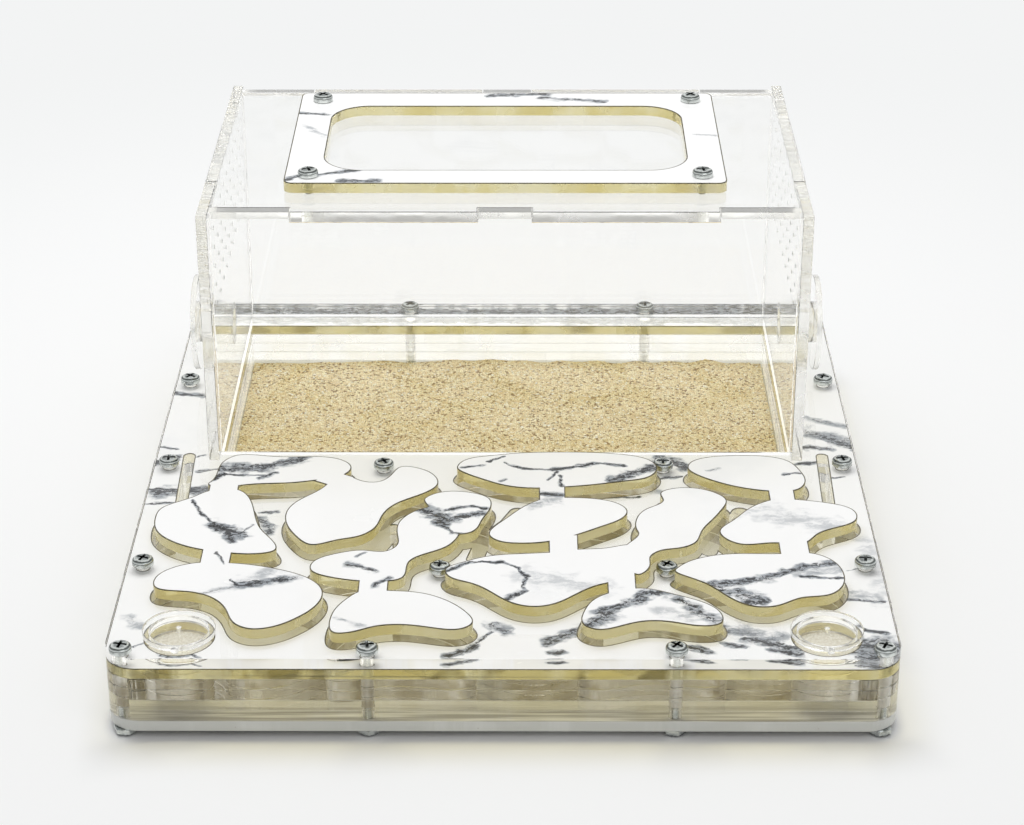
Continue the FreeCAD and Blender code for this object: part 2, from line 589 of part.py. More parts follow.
# Side walls: one notch each, a port hole and rows of air holes.
side_corners = [
    (SIDE_FRONT, DECK), (SIDE_BACK, DECK), (SIDE_BACK, WALL_TOP),
    (f"{FRONT} + Sizes.side_notch_back", WALL_TOP), (f"{FRONT} + Sizes.side_notch_back", LEDGE),
    (f"{FRONT} + Sizes.side_notch_front", LEDGE), (f"{FRONT} + Sizes.side_notch_front", WALL_TOP),
    (SIDE_FRONT, WALL_TOP)]
PORT_Y = f"({ARENA_FRONT} + Sizes.port_setback)"
PORT_Z = f"({DECK} + Sizes.port_rise)"
for tag, wall_x in (("left", f"(-{ARENA_HALF} - Sizes.sheet)"), ("right", ARENA_HALF)):
    name = f"arena_{tag}_wall"
    wall = wall_body(f"{name}_blank", "YZ_Plane", side_corners, "Sizes.sheet")
    put(wall, x=wall_x)
    doc.recompute()
    air = sketch_on(wall, f"{name}_air_hole", "YZ_Plane")
    air_y = value_of(f"{ARENA_FRONT} + Sizes.air_setback")
    air_z = value_of(f"{DECK} + Sizes.air_base")
    air.addGeometry(Part.Circle(Vector(air_y, air_z, 0), Vector(0, 0, 1), size("air_radius")), False)
    for kind, target, expression in (
            ("DistanceX", air_y, f"{ARENA_FRONT} + Sizes.air_setback"),
            ("DistanceY", air_z, f"{DECK} + Sizes.air_base")):
        index = air.addConstraint(Sketcher.Constraint(kind, -1, 1, 0, 3, target))
        air.setExpression(f"Constraints[{index}]", expression)
    index = air.addConstraint(Sketcher.Constraint("Radius", 0, size("air_radius")))
    air.setExpression(f"Constraints[{index}]", "Sizes.air_radius")
    air.Visibility = False
    first_hole = wall.newObject("PartDesign::Pocket", f"{name}_air_pocket")
    first_hole.Profile = air
    first_hole.Type = "ThroughAll"
    first_hole.Midplane = True
    doc.recompute()
    columns = wall.newObject("PartDesign::LinearPattern", f"{name}_air_columns")
    columns.Direction = (air, ["H_Axis"])
    bind(columns, Length="(Sizes.air_columns - 1) * Sizes.air_pitch_along", Occurrences="Sizes.air_columns")
    rows = wall.newObject("PartDesign::LinearPattern", f"{name}_air_rows")
    rows.Direction = (air, ["V_Axis"])
    bind(rows, Length="(Sizes.air_rows - 1) * Sizes.air_pitch_up", Occurrences="Sizes.air_rows")
    grid = wall.newObject("PartDesign::MultiTransform", f"{name}_air_grid")
    grid.Originals = [first_hole]
    grid.Transformations = [columns, rows]
    wall.Tip = grid
    doc.recompute()
    port_hole = side_cylinder(f"{name}_port_hole", "Sizes.port_radius + Sizes.port_gap", wall_x,
                              f"({wall_x} + Sizes.sheet)", PORT_Y, PORT_Z)
    label(cut(f"{name}_cut", wall, port_hole), name)

# Side ports: a stub glued through the wall, and a cap that pushes into it.
for tag, side in (("left", -1), ("right", 1)):
    sign = "-" if side < 0 else "+"
    facing = Rotation(Vector(0, 1, 0), 90 * side)
    stub = turned_body(f"port_stub_{tag}", [
        ("Sizes.port_bore", "0"), ("Sizes.port_radius", "0"),
        ("Sizes.port_radius", "Sizes.sheet + Sizes.port_reach"),
        ("Sizes.port_bore", "Sizes.sheet + Sizes.port_reach")])
    stub.Placement = Placement(Vector(), facing)
    put(stub, f"{sign}{ARENA_HALF}", PORT_Y, PORT_Z)
    label(stub, f"port_tube_{tag}")
    cap = turned_body(f"port_disc_{tag}", [
        ("0", "-Sizes.disc_plug"), ("Sizes.port_bore - Sizes.plug_gap", "-Sizes.disc_plug"),
        ("Sizes.port_bore - Sizes.plug_gap", "0"), ("Sizes.disc_radius", "0"),
        ("Sizes.disc_radius", "Sizes.disc_thickness"), ("0", "Sizes.disc_thickness")])
    cap.Placement = Placement(Vector(), facing)
    put(cap, f"{sign}({ARENA_HALF} + Sizes.sheet + Sizes.port_reach)", PORT_Y, PORT_Z)
    label(cap, f"port_cap_{tag}")

# ---------------------------------------------------------------- lid
INNER_HALF = f"({ARENA_HALF} - Sizes.lid_gap)"
main_part = box("lid_main", f"-{INNER_HALF}", INNER_HALF, f"({ARENA_FRONT} + Sizes.lid_gap)",
                f"({ARENA_BACK} - Sizes.lid_gap)", LEDGE, LID_TOP)
TONGUE_IN = "(Sizes.tab_half + Sizes.lid_gap)"
TONGUE_OUT = "(Sizes.notch_half - Sizes.lid_gap)"
tongues = []
for tag, x0, x1 in (("a", f"-{TONGUE_OUT}", f"-{TONGUE_IN}"), ("b", TONGUE_IN, TONGUE_OUT)):
    tongues.append(box(f"lid_tongue_front_{tag}", x0, x1, f"({ARENA_FRONT} - Sizes.sheet)",
                       f"({ARENA_FRONT} + 1)", LEDGE, LID_TOP))
    tongues.append(box(f"lid_tongue_back_{tag}", x0, x1, f"({ARENA_BACK} - 1)",
                       f"({ARENA_BACK} + Sizes.sheet)", LEDGE, LID_TOP))
tongues.append(box("lid_tongue_sides", f"(-{ARENA_HALF} - Sizes.sheet)", f"({ARENA_HALF} + Sizes.sheet)",
                   f"({FRONT} + Sizes.side_notch_front + Sizes.lid_gap)",
                   f"({FRONT} + Sizes.side_notch_back - Sizes.lid_gap)", LEDGE, LID_TOP))
lid_blank = together("lid_blank", [main_part] + tongues)
lid_places = []
for side in ("-", "+"):
    for row in ("front", "back"):
        lid_places.append((f"{side}Sizes.lid_screw_half", f"{FRONT} + Sizes.lid_screw_{row}"))
lid_hole_tool = bundle("lid_hole_tool", [
    cylinder(f"lid_hole_{i}", HOLE, x, y, DECK, f"({LID_TOP} + 2 * Sizes.sheet)")
    for i, (x, y) in enumerate(lid_places)])
label(cut("lid_plate", lid_blank, lid_hole_tool), "lid_plate")


def frame_ring(name, z0, thickness):
    """The lid frame or its film: a rounded plate with a rounded window and four screw holes."""
    outer = plate_body(f"{name}_outer", "Sizes.frame_half", f"({FRONT} + Sizes.frame_front)",
                       f"({FRONT} + Sizes.frame_back)", z0, thickness, "Sizes.frame_corner")
    inner = plate_body(f"{name}_window", "Sizes.window_half", f"({FRONT} + Sizes.window_front)",
                       f"({FRONT} + Sizes.window_back)", f"({z0} - 1)", f"{thickness} + 2",
                       "Sizes.window_corner")
    ring = cut(f"{name}_ring", outer, inner)
    return label(cut(f"{name}_cut", ring, lid_hole_tool), name)


frame_ring("lid_frame", LID_TOP, "Sizes.sheet - Sizes.film")
frame_ring("lid_frame_film", f"({LID_TOP} + Sizes.sheet - Sizes.film)", "Sizes.film")
lid_screw = pan_screw("lid_screw_master", "(2 * Sizes.sheet + Sizes.lid_screw_tip)",
                      "Sizes.lid_screw_point")
copies("lid_screws", lid_screw, lid_places, f"{LID_TOP} + Sizes.sheet")

# ---------------------------------------------------------------- checks and export
doc.recompute()
for item in doc.Objects:
    if "Invalid" in item.State or "Error" in item.State:
        raise RuntimeError(f"{item.Name} failed: {item.State}")
for node in nodes:
    if node.Shape.isNull() or not node.Shape.isValid() or not node.Shape.Solids:
        raise RuntimeError(f"{node.Label} has no valid solid")

os.makedirs("parts", exist_ok=True)
for node in nodes:
    node.Shape.exportStep(os.path.join("parts", f"{node.Label}.step"))
    box_of = node.Shape.BoundBox
    print(f"{node.Label:24s} solids {len(node.Shape.Solids):3d}  volume {node.Shape.Volume:10.1f}"
          f"  x {box_of.XMin:7.2f} {box_of.XMax:7.2f}  y {box_of.YMin:7.2f} {box_of.YMax:7.2f}"
          f"  z {box_of.ZMin:7.2f} {box_of.ZMax:7.2f}")
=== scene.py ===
import json
import math
import random

import bmesh
import bpy
from mathutils import Matrix, Vector


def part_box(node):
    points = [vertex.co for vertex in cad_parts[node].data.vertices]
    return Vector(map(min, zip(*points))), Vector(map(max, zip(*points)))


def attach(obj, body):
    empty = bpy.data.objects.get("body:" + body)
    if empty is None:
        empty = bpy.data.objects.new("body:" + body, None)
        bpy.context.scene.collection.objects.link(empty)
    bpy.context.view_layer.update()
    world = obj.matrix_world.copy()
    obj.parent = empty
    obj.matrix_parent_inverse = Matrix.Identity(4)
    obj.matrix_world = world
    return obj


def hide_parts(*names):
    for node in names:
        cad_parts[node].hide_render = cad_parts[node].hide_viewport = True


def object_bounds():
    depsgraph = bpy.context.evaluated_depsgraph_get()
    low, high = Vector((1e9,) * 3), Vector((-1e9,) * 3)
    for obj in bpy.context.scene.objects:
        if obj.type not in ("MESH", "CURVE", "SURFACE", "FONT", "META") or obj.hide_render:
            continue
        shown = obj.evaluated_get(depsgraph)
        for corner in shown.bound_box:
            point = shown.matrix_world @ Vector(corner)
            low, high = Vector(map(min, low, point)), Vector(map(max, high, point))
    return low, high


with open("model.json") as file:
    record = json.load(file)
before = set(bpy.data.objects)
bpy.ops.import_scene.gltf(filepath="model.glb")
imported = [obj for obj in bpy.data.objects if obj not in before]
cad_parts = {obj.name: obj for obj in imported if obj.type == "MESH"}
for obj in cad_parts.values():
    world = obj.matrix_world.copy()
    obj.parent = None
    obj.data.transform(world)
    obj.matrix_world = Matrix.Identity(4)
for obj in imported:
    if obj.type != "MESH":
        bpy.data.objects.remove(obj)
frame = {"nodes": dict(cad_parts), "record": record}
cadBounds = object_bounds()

scene = bpy.context.scene
mm = 0.001
print("frame loaded:", len(frame["nodes"]), "nodes")


# Helpers for nodes. A value is a number, a colour or place as a tuple, or another node's socket, and the
# tree is that of the first socket.
def feed(node, values):
    for key, value in values.items():
        if value is None:
            continue
        target = node.inputs[key]
        if isinstance(value, bpy.types.NodeSocket):
            node.id_data.links.new(value, target)
        else:
            target.default_value = (*value, 1) if target.type == "RGBA" else value


def addNode(tree, kind, values=None, **settings):
    node = tree.nodes.new(kind)
    for key, value in settings.items():
        setattr(node, key, value)
    feed(node, values or {})
    return node


def mathNode(operation, *values, clamp=False):
    node = addNode(values[0].id_data, "ShaderNodeMath", dict(enumerate(values)), operation=operation,
                   use_clamp=clamp)
    return node.outputs[0]


def times(first, second, clamp=False):
    return mathNode("MULTIPLY", first, second, clamp=clamp)


def larger(first, second):
    return mathNode("MAXIMUM", first, second)


def vectorNode(operation, *values, scale=None):
    inputs = {**dict(enumerate(values)), "Scale": scale}
    node = addNode(values[0].id_data, "ShaderNodeVectorMath", inputs, operation=operation)
    return node.outputs["Value" if operation in ("DOT_PRODUCT", "LENGTH") else "Vector"]


def stretch(value, low, high, newLow=0.0, newHigh=1.0):
    values = {"Value": value, "From Min": low, "From Max": high, "To Min": newLow, "To Max": newHigh}
    node = addNode(value.id_data, "ShaderNodeMapRange", values, interpolation_type="SMOOTHSTEP")
    return node.outputs["Result"]


def mixColour(amount, first, second):
    values = {0: amount, 6: first, 7: second}
    return addNode(amount.id_data, "ShaderNodeMix", values, data_type="RGBA").outputs[2]


def noise(place, scale, detail=2.0, roughness=0.5, distortion=0.0, output="Fac"):
    return addNode(place.id_data, "ShaderNodeTexNoise", {
        "Vector": place, "Scale": scale, "Detail": detail, "Roughness": roughness,
        "Distortion": distortion}).outputs[output]


def voronoi(place, scale, feature="F1"):
    values = {"Vector": place, "Scale": scale}
    return addNode(place.id_data, "ShaderNodeTexVoronoi", values, feature=feature).outputs


def firstChannel(colour):
    return addNode(colour.id_data, "ShaderNodeSeparateColor", {0: colour}).outputs[0]


def axesOf(vector):
    return addNode(vector.id_data, "ShaderNodeSeparateXYZ", {0: vector}).outputs


def ramp(value, look, stops):
    # the look's named colours at sorted places from 0 to 1
    node = addNode(value.id_data, "ShaderNodeValToRGB", {0: value})
    elements = node.color_ramp.elements
    elements[0].color, elements[1].color = (*look[stops[0][1]], 1), (*look[stops[-1][1]], 1)
    for position, key in stops[1:-1]:
        elements.new(position).color = (*look[key], 1)
    return node.outputs["Color"]


def newGroup(name, inputs, outputs):
    # an input is a number if its value is a float, else a place; so is an output whose name ends in Place
    group = bpy.data.node_groups.new(name, "ShaderNodeTree")
    for label, value in inputs.items():
        kind = "NodeSocketFloat" if isinstance(value, float) else "NodeSocketVector"
        socket = group.interface.new_socket(label, in_out="INPUT", socket_type=kind)
        if value is not None:
            socket.default_value = value
    for label in outputs:
        kind = "NodeSocketVector" if label.endswith("Place") else "NodeSocketFloat"
        group.interface.new_socket(label, in_out="OUTPUT", socket_type=kind)
    return group, group.nodes.new("NodeGroupInput").outputs, group.nodes.new("NodeGroupOutput")


def useGroup(tree, group, values):
    return addNode(tree, "ShaderNodeGroup", values, node_tree=group).outputs


# Shared effects. A noise is written as scale, detail, roughness and distortion, and a range as low and high
# with the new low and high.
streakLook = {"cutFace": 0.5, "flatten": -0.96, "fine": (1.0, 3.0, 0.65), "wide": (0.11,),
              "wideRange": (0.42, 0.62), "range": (0.15, 0.6)}


def makeSawStreaks():
    # fine lines that a saw or laser leaves across the edge of a sheet
    look = streakLook
    group, given, result = newGroup(
        "sawStreaks", {"Vector": None, "Thin Axis": (0, 0, 1), "Density": 900.0}, ["Edge", "Streak"])
    normal = addNode(group, "ShaderNodeNewGeometry").outputs["True Normal"]
    facing = mathNode("ABSOLUTE", vectorNode("DOT_PRODUCT", normal, given["Thin Axis"]))
    depth = vectorNode("DOT_PRODUCT", given["Vector"], given["Thin Axis"])
    flattened = vectorNode("SCALE", given["Thin Axis"], scale=times(depth, look["flatten"]))
    place = vectorNode("ADD", given["Vector"], flattened)
    place = vectorNode("SCALE", place, scale=given["Density"])
    wide = stretch(noise(place, *look["wide"]), *look["wideRange"])
    both = times(noise(place, *look["fine"]), wide)
    edge = mathNode("LESS_THAN", facing, look["cutFace"])
    feed(result, {"Edge": edge, "Streak": stretch(both, *look["range"])})
    return group


handlingLook = {"haze": (45.0, 4.0, 0.6), "hazeRange": (0.45, 0.75), "chosen": 0.93,
                "dotRange": (0.16, 0.05)}


def makeHandling():
    # faint haze and specks of handled plastic
    look = handlingLook
    group, given, result = newGroup(
        "handlingMarks", {"Vector": None, "Speck Size": 700.0}, ["Haze", "Specks"])
    specks = voronoi(given["Vector"], given["Speck Size"])
    chosen = mathNode("GREATER_THAN", firstChannel(specks["Color"]), look["chosen"])
    dots = stretch(specks["Distance"], *look["dotRange"])
    haze = stretch(noise(given["Vector"], *look["haze"]), *look["hazeRange"])
    feed(result, {"Haze": haze, "Specks": times(dots, chosen)})
    return group


stepLook = {"swell": 0.55, "least": 0.5, "cloudRange": (1.0, 0.1), "taper": 0.5, "taperFrom": 0.8,
            "lineRange": (1.0, 0.5), "lineStrength": 1.4}


def makeVeinStep():
    # one marble vein between two points: a soft cloud with a thin dark line inside it
    look = stepLook
    group, given, result = newGroup(
        "veinStep",
        {"Soft Place": None, "Crisp Place": None, "From": (0, 0, 0), "To": (0.01, 0, 0), "Cloud Width": 0.004,
         "Line Width": 0.0005, "Strength": 1.0, "Swell": 1.0, "Cloud In": 0.0, "Line In": 0.0},
        ["Cloud", "Line"])
    reach = vectorNode("SUBTRACT", given["To"], given["From"])
    square = vectorNode("DOT_PRODUCT", reach, reach)

    def distance(place):
        offset = vectorNode("SUBTRACT", place, given["From"])
        share = mathNode("DIVIDE", vectorNode("DOT_PRODUCT", offset, reach), square, clamp=True)
        nearest = vectorNode("SCALE", reach, scale=share)
        return vectorNode("LENGTH", vectorNode("SUBTRACT", offset, nearest)), share

    softDistance = distance(given["Soft Place"])[0]
    crispDistance, crispShare = distance(given["Crisp Place"])
    swollen = mathNode("MULTIPLY_ADD", given["Swell"], look["swell"], look["least"])
    softness = mathNode("DIVIDE", softDistance, times(given["Cloud Width"], swollen))
    cloud = times(stretch(softness, *look["cloudRange"]), given["Strength"])
    thin = mathNode("DIVIDE", crispDistance, times(given["Line Width"], given["Swell"]))
    taper = mathNode("MULTIPLY_ADD", crispShare, look["taper"], look["taperFrom"])
    line = stretch(times(thin, taper), *look["lineRange"])
    line = times(line, times(given["Strength"], look["lineStrength"], clamp=True))
    feed(result, {"Cloud": larger(cloud, given["Cloud In"]), "Line": larger(line, given["Line In"])})
    return group


groundLook = {"soft": (90.0, 5.0, 0.6), "middle": (380.0, 3.0, 0.6), "crisp": (1500.0, 2.0, 0.6),
              "middleBend": 0.0026, "crispBend": 0.0009, "drawn": (0.42, 1.0, 1.0), "web": 420.0,
              "webRange": (0.06, 0.0), "mottle": (300.0, 6.0, 0.72), "mottleRange": (0.32, 0.66),
              "shreds": (950.0, 5.0, 0.7, 0.8), "shredsRange": (0.42, 0.62), "swell": (240.0,),
              "swellRange": (0.3, 0.7, 0.25, 1.7), "ground": (24.0, 4.0, 0.55), "groundRange": (0.52, 0.75)}


def makeMarbleGround():
    # places bent by noise, a web of hairline cracks and the faint clouds of the white ground
    look = groundLook
    group, given, result = newGroup(
        "marbleGround", {"Vector": None, "Bend": 0.012},
        ["Soft Place", "Crisp Place", "Web", "Mottle", "Ground", "Shreds", "Swell"])

    def flat(vector):
        return vectorNode("MULTIPLY", vector, (1, 1, 0))

    def bent(source, kind, amount):
        colour = noise(source, *look[kind], output="Color")
        moved = flat(vectorNode("SUBTRACT", colour, (0.5, 0.5, 0.5)))
        return vectorNode("ADD", source, vectorNode("SCALE", moved, scale=amount))

    def shown(kind, place):
        return stretch(noise(place, *look[kind]), *look[kind + "Range"])

    source = flat(given["Vector"])
    soft = bent(source, "soft", given["Bend"])
    crisp = bent(bent(soft, "middle", look["middleBend"]), "crisp", look["crispBend"])
    drawn = vectorNode("MULTIPLY", crisp, look["drawn"])
    web = voronoi(drawn, look["web"], "DISTANCE_TO_EDGE")["Distance"]
    feed(result, {
        "Soft Place": soft, "Crisp Place": crisp, "Web": stretch(web, *look["webRange"]),
        "Mottle": shown("mottle", drawn), "Ground": shown("ground", soft), "Shreds": shown("shreds", drawn),
        "Swell": shown("swell", source)})
    return group


sawStreaks = makeSawStreaks()
handlingMarks = makeHandling()
veinStep = makeVeinStep()
marbleGround = makeMarbleGround()
print("shared effects ready")


# Finishes. A bump is written as strength and height in metres.
def newMaterial(name):
    material = bpy.data.materials.new(name)
    material.use_nodes = True
    tree = material.node_tree
    place = addNode(tree, "ShaderNodeTexCoord").outputs["Object"]
    return material, tree.nodes["Principled BSDF"], place


def streaksOn(place, thinAxis, density):
    return useGroup(place.id_data, sawStreaks, {"Vector": place, "Thin Axis": thinAxis, "Density": density})


def marksOn(place, speckSize=None):
    return useGroup(place.id_data, handlingMarks, {"Vector": place, "Speck Size": speckSize})


def dress(shader, colour, rough, height=None, bump=None, invert=False, **more):
    # the shader's values and its relief; words holds the full names of the other values
    words = {"ior": "IOR", "see": "Transmission Weight", "metal": "Metallic", "glow": "Emission Strength",
             "glowColour": "Emission Color", "shine": "Specular IOR Level"}
    feed(shader, {"Base Color": colour, "Roughness": rough, **{words[key]: more[key] for key in more}})
    if height is not None:
        values = {"Height": height, "Strength": bump[0], "Distance": bump[1]}
        relief = addNode(shader.id_data, "ShaderNodeBump", values, invert=invert)
        feed(shader, {"Normal": relief.outputs["Normal"]})


def mixSurface(amount, first, second, end="Material Output"):
    tree = amount.id_data
    mix = addNode(tree, "ShaderNodeMixShader", {0: amount, 1: first.outputs[0], 2: second.outputs[0]})
    feed(tree.nodes[end], {"Surface": mix.outputs[0]})


def lampsPassThrough(shader, tint):
    # lamps and scattered light go straight through, so what lies under the plastic is lit evenly
    tree = shader.id_data
    rays = addNode(tree, "ShaderNodeLightPath").outputs
    passing = larger(rays["Is Shadow Ray"], rays["Is Diffuse Ray"])
    mixSurface(passing, shader, addNode(tree, "ShaderNodeBsdfTransparent", {"Color": tint}))


acrylicLook = {"clear": (1.0, 1.0, 0.995), "ivory": (0.93, 0.905, 0.80), "milk": (0.99, 0.985, 0.96),
               "through": (0.985, 0.985, 0.98), "ior": 1.49, "edgeRough": 0.16, "density": 900.0,
               "bump": (0.55, 0.00012)}


def makeAcrylic(name, thinAxis):
    look = acrylicLook
    material, shader, place = newMaterial(name)
    streaks = streaksOn(place, thinAxis, look["density"])
    edgeColour = mixColour(streaks["Streak"], look["ivory"], look["milk"])
    colour = mixColour(streaks["Edge"], look["clear"], edgeColour)
    cut = times(streaks["Edge"], streaks["Streak"])
    rough = times(cut, look["edgeRough"])
    dress(shader, colour, rough, cut, look["bump"], ior=look["ior"], see=1.0)
    lampsPassThrough(shader, look["through"])
    return material


# see is the share of light let through, and the glow is emission on the cut faces, a painted glow for the
# light caught in the sheet that leaves at its edges
sawnLook = {"wall": {"see": 0.86, "glow": 0.21}, "side": {"see": 0.86, "glow": 0.04},
            "rim": {"see": 0.86, "glow": 0.42},
            "nest": {"deep": (0.46, 0.40, 0.27), "bright": (1.0, 0.975, 0.89), "see": 0.32, "glow": 0.0},
            "deep": (0.94, 0.935, 0.90), "bright": (1.0, 1.0, 0.995), "glowColour": (1.0, 0.995, 0.96),
            "through": (0.97, 0.965, 0.94), "density": 700.0, "streakRange": (0, 1, 0.5, 1.0),
            "broad": (120.0, 3.0), "broadRange": (0.38, 0.54), "roughRange": (0.3, 0.7, 0.08, 0.3),
            "bump": (0.4, 0.00012)}


def makeSawn(name, thinAxis, kind):
    # a cut edge that scatters light: pale, with finer and darker lines across it, and lit by its look's
    # painted glow
    look = {**sawnLook, **sawnLook[kind]}
    material, shader, place = newMaterial(name)
    streaks = streaksOn(place, thinAxis, look["density"])
    broad = noise(place, *look["broad"])
    amount = times(stretch(streaks["Streak"], *look["streakRange"]),
                   stretch(broad, *look["broadRange"]))
    dress(shader, mixColour(amount, look["deep"], look["bright"]),
          stretch(broad, *look["roughRange"]), streaks["Streak"], look["bump"], ior=acrylicLook["ior"],
          see=look["see"], glow=look["glow"], glowColour=look["glowColour"])
    lampsPassThrough(shader, look["through"])
    return material


# the sun-shade pieces and the stack share one plastic: the stack's copy is darker, painted shade for its edge
# under the cover, the pieces' copy is lighter, painted light on their sides, and the pale streaks that glint
# mixes in are painted glints
amberLook = {"shade": {"gold": (0.985, 0.93, 0.60), "olive": (0.88, 0.79, 0.38), "pale": (1.0, 0.985, 0.82),
                       "glint": 0.45},
             "stack": {"gold": (0.84, 0.74, 0.30), "olive": (0.26, 0.21, 0.045), "pale": (1.0, 0.96, 0.62),
                       "glint": 0.8},
             "through": (0.98, 0.96, 0.86), "density": 520.0, "runs": (70.0, 3.0), "runsRange": (0.47, 0.57),
             "rough": 0.06, "see": 0.72, "bump": (0.4, 0.0001)}


def makeAmber(name, kind):
    # yellowish plastic whose edges glow gold, with darker olive runs
    look = {**amberLook, **amberLook[kind]}
    material, shader, place = newMaterial(name)
    streaks = streaksOn(place, (0, 0, 1), look["density"])
    runs = stretch(noise(place, *look["runs"]), *look["runsRange"])
    shade = mixColour(runs, look["gold"], look["olive"])
    colour = mixColour(times(streaks["Streak"], look["glint"]), shade, look["pale"])
    dress(shader, colour, look["rough"], times(streaks["Edge"], streaks["Streak"]), look["bump"],
          ior=acrylicLook["ior"], see=look["see"])
    lampsPassThrough(shader, look["through"])
    return material


marbleLook = {"white": (0.95, 0.95, 0.945), "grey": (0.80, 0.815, 0.83), "cloud": (0.27, 0.30, 0.335),
              "line": (0.012, 0.013, 0.017), "side": (0.10, 0.085, 0.04), "through": (0.87, 0.85, 0.77),
              "bend": 0.0045, "groundShare": 0.4, "mottleRange": (0, 1, 0.35, 1.0), "cloudShare": 0.9,
              "cloudRange": (0.05, 0.62), "crackRange": (0.35, 0.9), "crackShare": 0.7,
              "shredRange": (0.2, 0.5), "darkShare": 0.95, "faceUp": 0.5, "roughRange": (0.0, 1.0, 0.16, 0.3),
              "bump": (0.08, 0.0002), "ior": 1.45}
veinLook = {"cloud": 1.35, "line": 0.6, "finest": 0.001, "strength": 1.2}
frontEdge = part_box("bottom_plate")[0].y


def makeMarble(name, veins):
    # veins: start, end (mm from the middle and from the front edge), cloud width, line width, strength
    look = marbleLook
    material, shader, place = newMaterial(name)
    tree = shader.id_data
    ground = useGroup(tree, marbleGround, {"Vector": place, "Bend": look["bend"]})
    haze = marksOn(place)["Haze"]
    cloud = line = None
    bent = {label: ground[label] for label in ("Soft Place", "Crisp Place", "Swell")}
    for x0, y0, x1, y1, wide, thin, strength in veins:
        step = useGroup(tree, veinStep, {
            **bent, "Cloud In": cloud, "Line In": line,
            "From": (x0 * mm, y0 * mm + frontEdge, 0), "To": (x1 * mm, y1 * mm + frontEdge, 0),
            "Cloud Width": wide * mm * veinLook["cloud"],
            "Line Width": max(thin * veinLook["line"], veinLook["finest"]) * mm,
            "Strength": min(1.0, strength * veinLook["strength"])})
        cloud, line = step["Cloud"], step["Line"]
    colour = mixColour(times(ground["Ground"], look["groundShare"]), look["white"], look["grey"])
    filled = times(cloud, stretch(ground["Mottle"], *look["mottleRange"]))
    feather = times(stretch(filled, *look["cloudRange"]), look["cloudShare"])
    colour = mixColour(feather, colour, look["cloud"])
    shreds = times(times(cloud, cloud), ground["Shreds"])
    cracks = times(ground["Web"], stretch(cloud, *look["crackRange"]))
    dark = larger(stretch(shreds, *look["shredRange"]), times(cracks, look["crackShare"]))
    dark = times(larger(dark, line), look["darkShare"])
    colour = mixColour(dark, colour, look["line"])
    # the film's edge is dark, and its underside is plain white
    upward = axesOf(addNode(tree, "ShaderNodeNewGeometry").outputs["True Normal"])["Z"]
    colour = mixColour(mathNode("LESS_THAN", upward, look["faceUp"]), colour, look["side"])
    colour = mixColour(mathNode("LESS_THAN", upward, -look["faceUp"]), colour, look["white"])
    dress(shader, colour, stretch(haze, *look["roughRange"]), haze, look["bump"], ior=look["ior"])
    lampsPassThrough(shader, look["through"])
    return material


mottledLooks = {
    "burntRim": {"deep": (0.02, 0.016, 0.006), "pale": (0.10, 0.08, 0.03), "mottle": (800.0, 3.0),
                 "range": (0.35, 0.65), "rough": 0.5, "bump": (0.4, 0.00005)},
    "beigeFelt": {"deep": (0.60, 0.55, 0.42), "pale": (0.86, 0.83, 0.72), "mottle": (1400.0, 4.0, 0.7),
                  "range": (0.35, 0.65), "cells": 900.0, "rough": 0.95, "bump": (0.6, 0.0003)}}


def makeMottled(name):
    # two colours mixed by noise; the relief comes from the noise, or from cells where the look has them
    look = mottledLooks[name]
    material, shader, place = newMaterial(name)
    mottle = noise(place, *look["mottle"])
    colour = mixColour(stretch(mottle, *look["range"]), look["deep"], look["pale"])
    height = voronoi(place, look["cells"])["Distance"] if "cells" in look else mottle
    dress(shader, colour, look["rough"], height, look["bump"])
    return material


milkyLook = {"body": (0.80, 0.80, 0.78), "edge": (0.64, 0.65, 0.62), "edgeStreak": (0.76, 0.77, 0.75),
             "rimShade": (0.36, 0.35, 0.33), "rimShadeFrom": 14.0, "rimShadeTo": 9.0, "speck": (0.45, 0.42, 0.38),
             "speckSize": 500.0, "speckShare": 0.4, "density": 500.0, "streakShare": 0.5,
             "drawn": (22, 420, 0), "waves": (1.0, 3.0, 0.6), "wavesRange": (0.34, 0.62),
             "roughRange": (0, 1, 0.14, 0.3), "bump": (0.25, 0.0001)}


def makeMilky():
    look = milkyLook
    material, shader, place = newMaterial("milkyAcrylic")
    streaks = streaksOn(place, (0, 0, 1), look["density"])
    marks = marksOn(place, look["speckSize"])
    amount = times(streaks["Streak"], look["streakShare"])
    edge = mixColour(amount, look["edge"], look["edgeStreak"])
    # painted shade: under the clear front edge the plate is painted grey, in wavy runs along the front, for
    # the shade beneath the stack's rim
    waves = noise(vectorNode("MULTIPLY", place, look["drawn"]), *look["waves"])
    rimShade = stretch(axesOf(place)["Y"], frontEdge + look["rimShadeFrom"] * mm,
                     frontEdge + look["rimShadeTo"] * mm)
    rimShade = times(rimShade, stretch(waves, *look["wavesRange"]))
    colour = mixColour(rimShade, look["body"], look["rimShade"])
    colour = mixColour(streaks["Edge"], colour, edge)
    colour = mixColour(times(marks["Specks"], look["speckShare"]), colour, look["speck"])
    rough = stretch(marks["Haze"], *look["roughRange"])
    dress(shader, colour, rough, streaks["Streak"], look["bump"])
    return material


bumperLook = {"pale": (0.93, 0.92, 0.82), "dull": (0.86, 0.84, 0.70), "roughRange": (0, 1, 0.12, 0.32),
              "see": 0.55, "ior": 1.47}


def makeBumper():
    look = bumperLook
    material, shader, place = newMaterial("clearBumper")
    haze = marksOn(place)["Haze"]
    colour = mixColour(haze, look["pale"], look["dull"])
    dress(shader, colour, stretch(haze, *look["roughRange"]), see=look["see"], ior=look["ior"])
    return material


